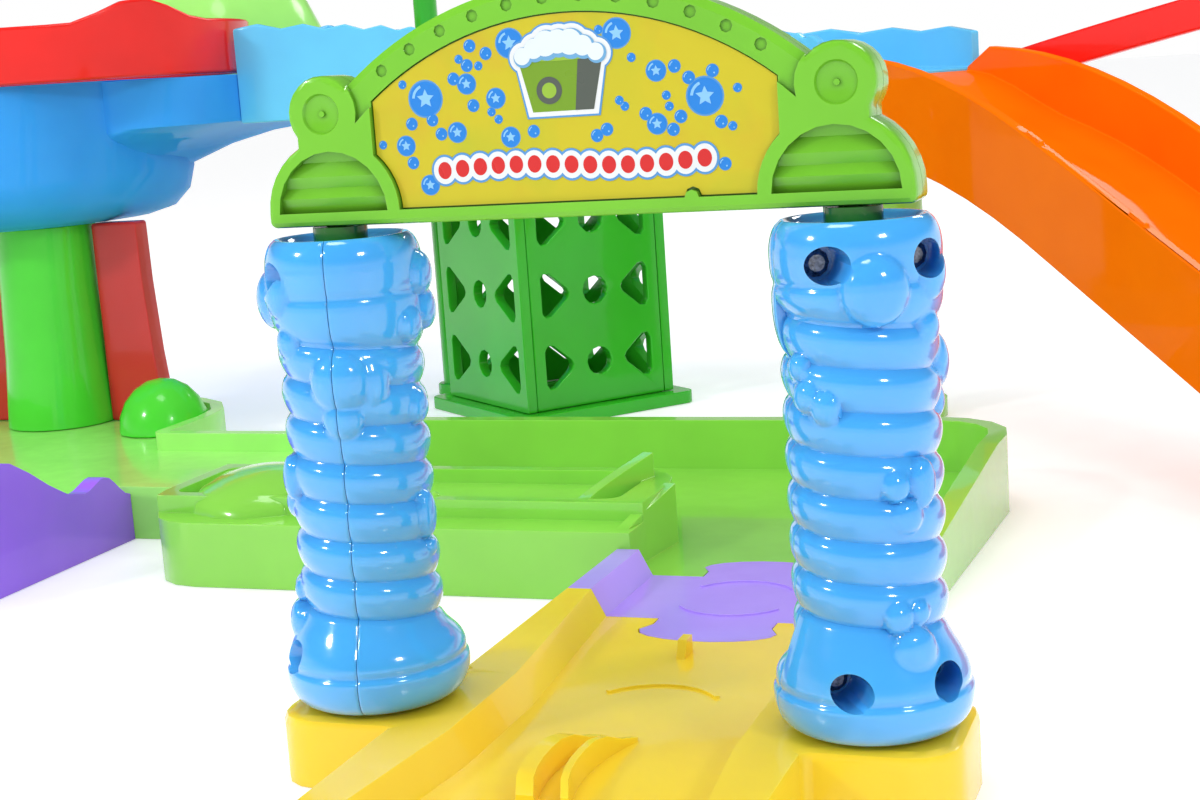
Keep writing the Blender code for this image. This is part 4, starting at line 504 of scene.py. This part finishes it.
def roller_skin(bubbles, side):
    """Points of a half's outer face, by column and row, with bubbles raised on the spiral bands."""
    rows = roller_profile()
    inner = np.linspace(-math.pi / 2, math.pi / 2, ROLLER_COLUMNS)
    edge = (inner[1] - inner[0]) * np.linspace(*SEAM_COLUMN_SHARES, SEAM_COLUMNS)
    angles = np.sort(np.concatenate([inner, inner[0] + edge, inner[-1] - edge]))
    drop = band_pitch() * (0.25 - angles / (2 * math.pi)) - (band_pitch() / 2 if side < 0 else 0)
    hold = ease(2 * rows[:, 0] / BELL_HEIGHT - 1) * ease(2 * (ROLLER_HEIGHT - rows[:, 0]) / HEAD_HEIGHT - 1)
    heights = rows[None, :, 0] + drop[:, None] * hold[None, :]
    radii = np.repeat(rows[None, :, 1], len(angles), axis=0)
    levels = np.linspace(0, ROLLER_HEIGHT, SEAT_STEPS)
    mean = np.interp(levels, rows[:, 0], rows[:, 1])
    relief = np.zeros_like(radii)
    for degrees, height, radius, tall in bubbles:
        seat = float(np.interp(height, levels, mean))
        across = (angles[:, None] - math.radians(degrees)) * seat
        along = (heights - height) / tall
        inside = np.clip(1 - (across ** 2 + along ** 2) / radius ** 2, 0, 1)
        cap = seat - radius * BUBBLE_SINK_SHARE + radius * BUBBLE_RISE_SHARE * np.sqrt(inside)
        cap = np.where(inside > 0, cap, 0)
        relief = np.maximum(relief, cap)
    radii = np.where(relief > 0, smooth_peak(radii, relief, BUBBLE_BLEND), radii)
    seam = radii * np.cos(angles)[:, None]
    radii = radii - SEAM_ROUND * np.exp(-(seam / SEAM_ROUND_REACH) ** 2)
    return angles, heights, radii


def roller_half(name, bubbles, side, turn, place, material, body):
    """Fine half shell of a roller."""
    angles, heights, radii = roller_skin(bubbles, side)
    bore = ROLLER_BORE / 2
    head = ROLLER_HEIGHT - HEAD_HEIGHT
    shape = bmesh.new()
    rings = []
    for column, angle in enumerate(angles):
        ring = list(zip(radii[column], heights[column]))
        ring += [(share_radius * HEAD_RADIUS, head + share * HEAD_HEIGHT) for share, share_radius in RIM_SHARES]
        ring += [(bore, ring[-1][1]), (bore, 0.0)]
        points = []
        for radius, height in ring:
            out = -max(radius * math.cos(angle), SEAM_GAP / 2)
            points.append(shape.verts.new((radius * math.sin(angle), out, height)))
        rings.append(points)
    for first, second in zip(rings, rings[1:]):
        for index in range(len(first)):
            following = (index + 1) % len(first)
            shape.faces.new((first[index], first[following], second[following], second[index]))
    shape.faces.new(rings[0])
    shape.faces.new(list(reversed(rings[-1])))
    bmesh.ops.recalc_face_normals(shape, faces=shape.faces)
    half = object_of(name, shape)
    half.data.materials.append(material)
    if side > 0:
        cut_wells(half)
    half.data.shade_smooth()
    half.data.set_sharp_from_angle(angle=SHARP_ANGLE)
    half.matrix_world = Matrix.Translation(place) @ Matrix.Rotation(turn, 4, "Z")
    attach(half, body)
    return half


def cut_wells(half):
    """Sink the four screw wells into a half."""
    depth = BELL_RADIUS * WELL_REACH_SHARE - SCREW_SEAT
    turn = Matrix.Rotation(math.pi / 2, 4, "X")
    for offset in (-SCREW_OFFSET, SCREW_OFFSET):
        for height in SCREW_HEIGHTS:
            shape = bmesh.new()
            middle = Matrix.Translation((offset, -SCREW_SEAT - depth / 2, height)) @ turn
            bmesh.ops.create_cone(shape, cap_ends=True, segments=WELL_STEPS, radius1=SCREW_WELL / 2,
                                  radius2=SCREW_WELL / 2, depth=depth, matrix=middle)
            tool = object_of("well", shape)
            modifier = half.modifiers.new("well", "BOOLEAN")
            modifier.operation = "DIFFERENCE"
            modifier.solver = "EXACT"
            modifier.object = tool
            graph = bpy.context.evaluated_depsgraph_get()
            cut = bpy.data.meshes.new_from_object(half.evaluated_get(graph))
            half.modifiers.remove(modifier)
            half.data = cut
            bpy.data.objects.remove(tool, do_unlink=True)


def rollers():
    """Both rollers, each in two halves."""
    # Painted shade darkens the colour in the grooves between the bands.
    material = plastic("roller_plastic", ROLLER_BLUE, cloud=0.05, roughness=0.13, coat=1.0, wave=0.00005,
                       wave_scale=120.0, scatter=0.25, sheen=0.55, painted_shade=0.80)
    for body, x in (("roller_left", -POST_SPACING / 2), ("roller_right", POST_SPACING / 2)):
        turn = math.radians(ROLLER_TURNS[body])
        place = (x, 0, KERB_TOP + ROLLER_LIFT)
        for part, bubbles, side, extra in (("screw_half", SCREW_HALF_BUBBLES, 1, 0.0),
                                           ("plain_half", PLAIN_HALF_BUBBLES, -1, math.pi)):
            half = roller_half(f"{body}_{part}_skin", bubbles, side, turn + extra, place, material, body)
            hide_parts(f"{body}_{part}")


def sign_inside(x, z, margin):
    """Whether a round print of that margin lies on the sign."""
    if abs(x) > SIGN_SIDE - margin or z < ARCH_BASE + margin:
        return False
    if math.hypot(x, z - (ARCH_BASE - CROWN_DROP)) > CROWN_INNER - margin:
        return False
    return all(math.hypot(x - side * DOME_CENTRE, z - ARCH_BASE) > DOME_RADIUS + margin for side in (-1, 1))


def add_print(shape, outline, layer):
    """Add a thin printed outline in X and Z at a layer in front of the sign."""
    y = SIGN_FACE - PRINT_STEP * layer
    front = [shape.verts.new((x, y, z)) for x, z in outline]
    back = [shape.verts.new((x, y + PRINT_STEP * PRINT_THICK_SHARE, z)) for x, z in outline]
    faces = [shape.faces.new(front), shape.faces.new(list(reversed(back)))]
    for index in range(len(outline)):
        following = (index + 1) % len(outline)
        faces.append(shape.faces.new((front[following], front[index], back[index], back[following])))
    bmesh.ops.recalc_face_normals(shape, faces=faces)
    bmesh.ops.triangulate(shape, faces=faces[:2])


def oval(x, z, wide, tall, start=0.0, end=2 * math.pi, steps=PRINT_ROUND_STEPS):
    """Points round an oval or along a part of it."""
    closed = end - start == 2 * math.pi
    points = []
    for step in range(steps if closed else steps + 1):
        angle = start + (end - start) * step / steps
        points.append((x + wide * math.cos(angle), z + tall * math.sin(angle)))
    return points


def crescent(x, z, radius, start, end, width):
    """Curved glint inside a bubble."""
    outer = oval(x, z, radius, radius, start=start, end=end, steps=PRINT_SMALL_STEPS)
    inner = oval(x, z, radius - width, radius - width, start=end, end=start, steps=PRINT_SMALL_STEPS)
    return outer + inner


def star(x, z, reach, points=5):
    """Small pointed star."""
    corners = []
    for step in range(2 * points):
        angle = math.pi / 2 + math.pi * step / points
        length = reach if step % 2 == 0 else reach * STAR_NOTCH_SHARE
        corners.append((x + length * math.cos(angle), z + length * math.sin(angle)))
    return corners


def clear_of_art(x, z, size):
    """Whether a bubble keeps off the bucket and the row of beads."""
    if not sign_inside(x, z, size + BUBBLE_MARGIN):
        return False
    side = BEAD_RIGHT + BEAD_EDGE + size
    if abs(z - BEAD_LEVEL) < BEAD_HEIGHT + BEAD_EDGE + BEAD_SWAY + size and abs(x) < side:
        return False
    wide = abs(x - BUCKET_X) / (BUCKET_TOP + FOAM_SIZE + size)
    tall = abs(z - BUCKET_Z) / (BUCKET_TALL / 2 + FOAM_SIZE + size)
    return math.hypot(wide, tall) > 1.0


def bubble_spots():
    """Places and sizes of the printed bubbles: large ones first, smaller ones gathered round them."""
    spots = []
    for rank, (size, count) in enumerate(zip(BUBBLE_SIZES, BUBBLE_COUNTS)):
        placed = 0
        for index in range(BUBBLE_TRIES):
            place = (index * BUBBLE_STRIDE + rank * BUBBLE_RANK_SHIFT) % BUBBLE_TRIES
            angle = place * math.pi * (3 - math.sqrt(5))
            reach = math.sqrt((place + 0.5) / BUBBLE_TRIES)
            x = BUBBLE_FIELD[0] * reach * math.cos(angle)
            z = BUBBLE_FIELD_LEVEL + BUBBLE_FIELD[1] * reach * math.sin(angle)
            if placed == count or not clear_of_art(x, z, size):
                continue
            near = min((math.hypot(x - other_x, z - other_z) / (size + other) for other_x, other_z, other in spots),
                       default=BUBBLE_ALONE)
            free = rank < BUBBLE_FREE_RANKS or index % BUBBLE_FREE_EVERY == 0
            if BUBBLE_SPACINGS[rank] < near < (BUBBLE_ANYWHERE if free else BUBBLE_GATHERED):
                spots.append((x, z, size))
                placed += 1
    return spots


def bubble_prints(put):
    """Blue bubbles with a pale ring, a glint and, in the larger ones, a star."""
    for x, z, size in bubble_spots():
        put("bubble_edge", oval(x, z, size * RING_SHARE, size * RING_SHARE), RING_LAYER)
        put("bubble_blue", oval(x, z, size, size), BUBBLE_LAYER)
        put("bubble_light", crescent(x, z, size * GLINT_SHARE, *GLINT_ANGLES, size * GLINT_WIDTH_SHARE), GLINT_LAYER)
        if size in BUBBLE_SIZES[:STAR_RANKS]:
            put("bubble_light", star(x, z, size * STAR_SHARE), GLINT_LAYER)
        else:
            spark = size * SPARK_SHARE
            middle = (x + size * SPARK_SHIFT[0], z + size * SPARK_SHIFT[1])
            put("bubble_light", oval(*middle, spark, spark, steps=PRINT_SMALL_STEPS), GLINT_LAYER)


def bucket_outline(x, z, grow):
    """Tapering bucket grown by a border."""
    top = BUCKET_TOP + grow
    foot = BUCKET_FOOT + grow
    half = BUCKET_TALL / 2 + grow
    return [(x - top, z + half), (x + top, z + half), (x + foot, z - half), (x - foot, z - half)]


def bucket_prints(put):
    """Green bucket of foam with a white border and a blue edge."""
    x, z = BUCKET_X, BUCKET_Z
    foam, foot = z + BUCKET_TALL / 2, z - BUCKET_TALL / 2
    spots = []
    for index in range(FOAM_COUNT):
        share = 2 * index / (FOAM_COUNT - 1) - 1
        size = FOAM_SIZE * (1 - FOAM_TAPER * share * share) * (FOAM_SMALLER if index % 2 else 1.0)
        rise = FOAM_SIZE * FOAM_RISE_SHARE * (1 - share * share)
        spots.append((x + BUCKET_TOP * FOAM_SPREAD_SHARE * share, foam + rise, size))
    for ink, grow, layer in (("bubble_edge", BUCKET_BORDER * BUCKET_EDGE_SHARE, EDGE_LAYER),
                             ("print_white", BUCKET_BORDER, WHITE_LAYER)):
        put(ink, bucket_outline(x, z, grow), layer)
        for foam_x, foam_z, size in spots:
            put(ink, oval(foam_x, foam_z, size + grow, size + grow), layer)
    put("bucket_green", bucket_outline(x, z, 0.0), ART_LAYER)
    shade = [(x + BUCKET_TOP * SHADE_TOP_SHARE, foam), (x + BUCKET_TOP, foam),
             (x + BUCKET_FOOT, foot), (x + BUCKET_FOOT * SHADE_FOOT_SHARE, foot)]
    put("bucket_dark", shade, SHADE_LAYER)
    middle = (x - BUCKET_TOP * DISC_SHARE, z - BUCKET_TALL * DISC_DROP_SHARE)
    for ink, reach, layer in (("bucket_dark", BUCKET_TOP * DISC_SHARE, DISC_LAYER),
                              ("bucket_rim", BUCKET_TOP * DISC_HOLE_SHARE, RIM_LAYER)):
        put(ink, oval(*middle, reach, reach), layer)
    put("bucket_rim", oval(x, foam, BUCKET_TOP, BUCKET_TALL * RIM_TALL_SHARE), RIM_LAYER)
    for foam_x, foam_z, size in spots:
        put("foam_blue", oval(foam_x, foam_z, size, size), FOAM_SHADE_LAYER)
        lit = size * FOAM_LIT_SHARE
        shifted = (foam_x + size * FOAM_LIT_SHIFT[0], foam_z + size * FOAM_LIT_SHIFT[1])
        put("foam_white", oval(*shifted, lit, lit), FOAM_LAYER)


def bead_prints(put):
    """Row of red beads with a white border and a blue edge."""
    for index in range(BEAD_COUNT):
        share = index / (BEAD_COUNT - 1)
        x = BEAD_LEFT + (BEAD_RIGHT - BEAD_LEFT) * share
        z = BEAD_LEVEL + BEAD_SWAY * math.sin(2 * math.pi * share)
        for ink, grow, layer in (("bubble_edge", BEAD_EDGE, EDGE_LAYER), ("print_white", BEAD_WHITE, WHITE_LAYER),
                                 ("bead_red", 0.0, ART_LAYER)):
            put(ink, oval(x, z, BEAD_WIDTH + grow, BEAD_HEIGHT + grow), layer)


def sign_prints():
    """Artwork of the sign in several print layers: a bucket of foam, bubbles and a row of beads."""
    shapes = {}
    laid = {}

    def put(ink, outline, layer):
        """Add an outline, a little in front of the last one of its layer so that no two faces coincide."""
        if ink not in shapes:
            shapes[ink] = bmesh.new()
        laid[layer] = laid.get(layer, 0) + 1
        add_print(shapes[ink], outline, layer + LAYER_STAGGER_SHARE * laid[layer] % 1.0)

    bubble_prints(put)
    bucket_prints(put)
    bead_prints(put)
    for ink, shape in shapes.items():
        made = build("sign_print_" + ink, shape, printed(ink, INKS[ink]), "garage")


def repaint(nodes):
    """Give each CAD piece its finish and its rounded edges."""
    finishes = {
        # Painted shade darkens the arch's recesses, louvres and dishes.
        "arch": plastic("arch_plastic", ARCH_GREEN, painted_shade=0.45),
        # Gate posts coloured dark by painted shade.
        "gate_post": plastic("post_plastic", POST_GREEN_IN_PAINTED_SHADE, roughness=0.2),
        "gate_tile": plastic("tile_plastic", TILE_YELLOW, cloud=0.04, scatter=0.3),
        "link_tile": plastic("link_plastic", LINK_PURPLE, scatter=0.2),
        "side_link": plastic("side_link_plastic", SIDE_PURPLE),
        "base": plastic("base_plastic", BASE_GREEN, coat=0.7, scatter=0.2),
        "yard_base": plastic("yard_plastic", YARD_GREEN),
        "deck_roof": plastic("roof_plastic", YARD_GREEN),
        "ramp_post": plastic("ramp_post_plastic", BASE_GREEN),
        "tower": plastic("tower_plastic", TOWER_GREEN),
        "deck_pillar": plastic("pillar_plastic", PILLAR_GREEN),
        "yard_bush": plastic("bush_plastic", PILLAR_GREEN),
        "track_mast": plastic("mast_plastic", TOWER_GREEN),
        "deck_panel": plastic("panel_plastic", PANEL_RED),
        "guard_ring": plastic("guard_plastic", GUARD_RED),
        "side_rail": plastic("rail_plastic", GUARD_RED),
        "deck_body": plastic("deck_plastic", DECK_BLUE, roughness=0.16, coat=0.20, wave=0.00002, sheen=0.0),
        "track": plastic("track_plastic", TRACK_BLUE),
        "ramp": plastic("ramp_plastic", RAMP_ORANGE, roughness=0.16, coat=0.20, wave=0.00002, scatter=0.0, sheen=0.0),
        "sign_sticker": sticker_film()}
    steel = screw_steel()
    for name, piece in nodes.items():
        finish = steel if "_screw_" in name else None
        for key in sorted(finishes, key=len, reverse=True):
            if finish is None and name.startswith(key):
                finish = finishes[key]
        piece.data.materials.clear()
        piece.data.materials.append(finish or steel)
        if name in EDGE_WIDTHS:
            soften(piece, EDGE_WIDTHS[name])


def seen_directly(tree):
    """Socket that is 1 for rays of the camera, of reflections and through clear things."""
    path = tree.nodes.new("ShaderNodeLightPath")
    reflected = tree.nodes.new("ShaderNodeMath")
    reflected.operation = "MAXIMUM"
    tree.links.new(path.outputs["Is Camera Ray"], reflected.inputs[0])
    tree.links.new(path.outputs["Is Glossy Ray"], reflected.inputs[1])
    through = tree.nodes.new("ShaderNodeMath")
    through.operation = "MAXIMUM"
    tree.links.new(reflected.outputs["Value"], through.inputs[0])
    tree.links.new(path.outputs["Is Transmission Ray"], through.inputs[1])
    return through.outputs["Value"]


def studio_floor(level):
    """Pale floor that reads as white and keeps the shadow."""
    shape = bmesh.new()
    corners = [shape.verts.new((x * FLOOR_REACH, y * FLOOR_REACH, 0))
               for x, y in ((-1, -1), (1, -1), (1, 1), (-1, 1))]
    shape.faces.new(corners)
    bmesh.ops.subdivide_edges(shape, edges=shape.edges, cuts=FLOOR_CUTS, use_grid_fill=True)
    floor = object_of("floor", shape)
    floor.location = (0, 0, level - FLOOR_GAP)
    sheet = Sheet("studio_floor")
    grain = spread(sheet, noise(sheet, FLOOR_TONE_SCALE, detail=4.0), 0.0, 1.0)
    sheet.link(mixed(sheet, grain, *FLOOR_TONES), sheet.shader.inputs["Base Color"])
    gloss = spread(sheet, noise(sheet, FLOOR_GLOSS_SCALE, detail=3.0), *FLOOR_GLOSS)
    sheet.link(gloss, sheet.shader.inputs["Roughness"])
    sheet.shader.inputs["Emission Color"].default_value = WHITE
    lift = sheet.add("ShaderNodeMath", operation="MULTIPLY")
    lift.inputs[1].default_value = FLOOR_LIFT
    sheet.link(seen_directly(sheet.material.node_tree), lift.inputs[0])
    sheet.link(lift.outputs["Value"], sheet.shader.inputs["Emission Strength"])
    floor.data.materials.append(sheet.material)


def surround():
    """White surround near the horizon, darker overhead, with an even light on the object."""
    world = bpy.data.worlds.new("studio")
    bpy.context.scene.world = world
    world.use_nodes = True
    tree = world.node_tree
    even = tree.nodes["Background"]
    even.inputs["Color"].default_value = SURROUND_COLOUR
    even.inputs["Strength"].default_value = SURROUND_STRENGTH
    direction = tree.nodes.new("ShaderNodeTexCoord")
    split = tree.nodes.new("ShaderNodeSeparateXYZ")
    tree.links.new(direction.outputs["Generated"], split.inputs["Vector"])
    height = tree.nodes.new("ShaderNodeMapRange")
    height.interpolation_type = "SMOOTHSTEP"
    height.inputs["From Min"].default_value = SURROUND_WHITE_TO
    height.inputs["From Max"].default_value = SURROUND_DARK_FROM
    height.inputs["To Min"].default_value = 1.0
    height.inputs["To Max"].default_value = SURROUND_DARK
    tree.links.new(split.outputs["Z"], height.inputs["Value"])
    seen = tree.nodes.new("ShaderNodeBackground")
    seen.inputs["Color"].default_value = WHITE
    tree.links.new(height.outputs["Result"], seen.inputs["Strength"])
    blend = tree.nodes.new("ShaderNodeMixShader")
    tree.links.new(seen_directly(tree), blend.inputs["Fac"])
    tree.links.new(even.outputs["Background"], blend.inputs[1])
    tree.links.new(seen.outputs["Background"], blend.inputs[2])
    tree.links.new(blend.outputs["Shader"], tree.nodes["World Output"].inputs["Surface"])


def studio(low):
    """White floor, surround and lamps."""
    studio_floor(low.z)
    surround()
    for name, place, aim, size, power in LAMPS:
        light = bpy.data.lights.new(name, "AREA")
        light.shape = "RECTANGLE"
        light.size = size
        light.size_y = size * LAMP_HEIGHT_SHARE
        light.energy = power
        lamp = bpy.data.objects.new(name, light)
        bpy.context.scene.collection.objects.link(lamp)
        lamp.location = place
        lamp.rotation_euler = (Vector(aim) - Vector(place)).to_track_quat("-Z", "Y").to_euler()


def camera():
    """Camera at the photo's place."""
    yaw, pitch, roll = (math.radians(value) for value in (CAMERA_YAW, CAMERA_PITCH, CAMERA_ROLL))
    ahead = Vector((-math.sin(yaw) * math.cos(pitch), math.cos(yaw) * math.cos(pitch), -math.sin(pitch)))
    right = Vector((math.cos(yaw), math.sin(yaw), 0))
    up = right.cross(ahead)
    across = math.cos(roll) * right + math.sin(roll) * up
    upward = -math.sin(roll) * right + math.cos(roll) * up
    data = bpy.data.cameras.new("photo_camera")
    data.sensor_width = SENSOR_WIDTH
    data.lens = CAMERA_LENS
    data.clip_start = CAMERA_NEAR
    data.clip_end = CAMERA_FAR
    made = bpy.data.objects.new("photo_camera", data)
    bpy.context.scene.collection.objects.link(made)
    matrix = Matrix((across, upward, -ahead)).transposed().to_4x4()
    matrix.translation = Vector(CAMERA_PLACE)
    made.matrix_world = matrix
    bpy.context.scene.camera = made


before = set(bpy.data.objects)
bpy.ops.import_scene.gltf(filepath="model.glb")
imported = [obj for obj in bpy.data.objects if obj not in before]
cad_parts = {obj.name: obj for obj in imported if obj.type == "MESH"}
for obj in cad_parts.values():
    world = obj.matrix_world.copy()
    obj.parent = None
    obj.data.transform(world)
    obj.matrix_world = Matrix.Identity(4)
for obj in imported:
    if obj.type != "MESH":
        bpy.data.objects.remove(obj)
cad_low, cad_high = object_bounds()
repaint(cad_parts)
rollers()
sign_prints()
studio(cad_low)
camera()
bpy.context.scene.view_settings.view_transform = "Standard"
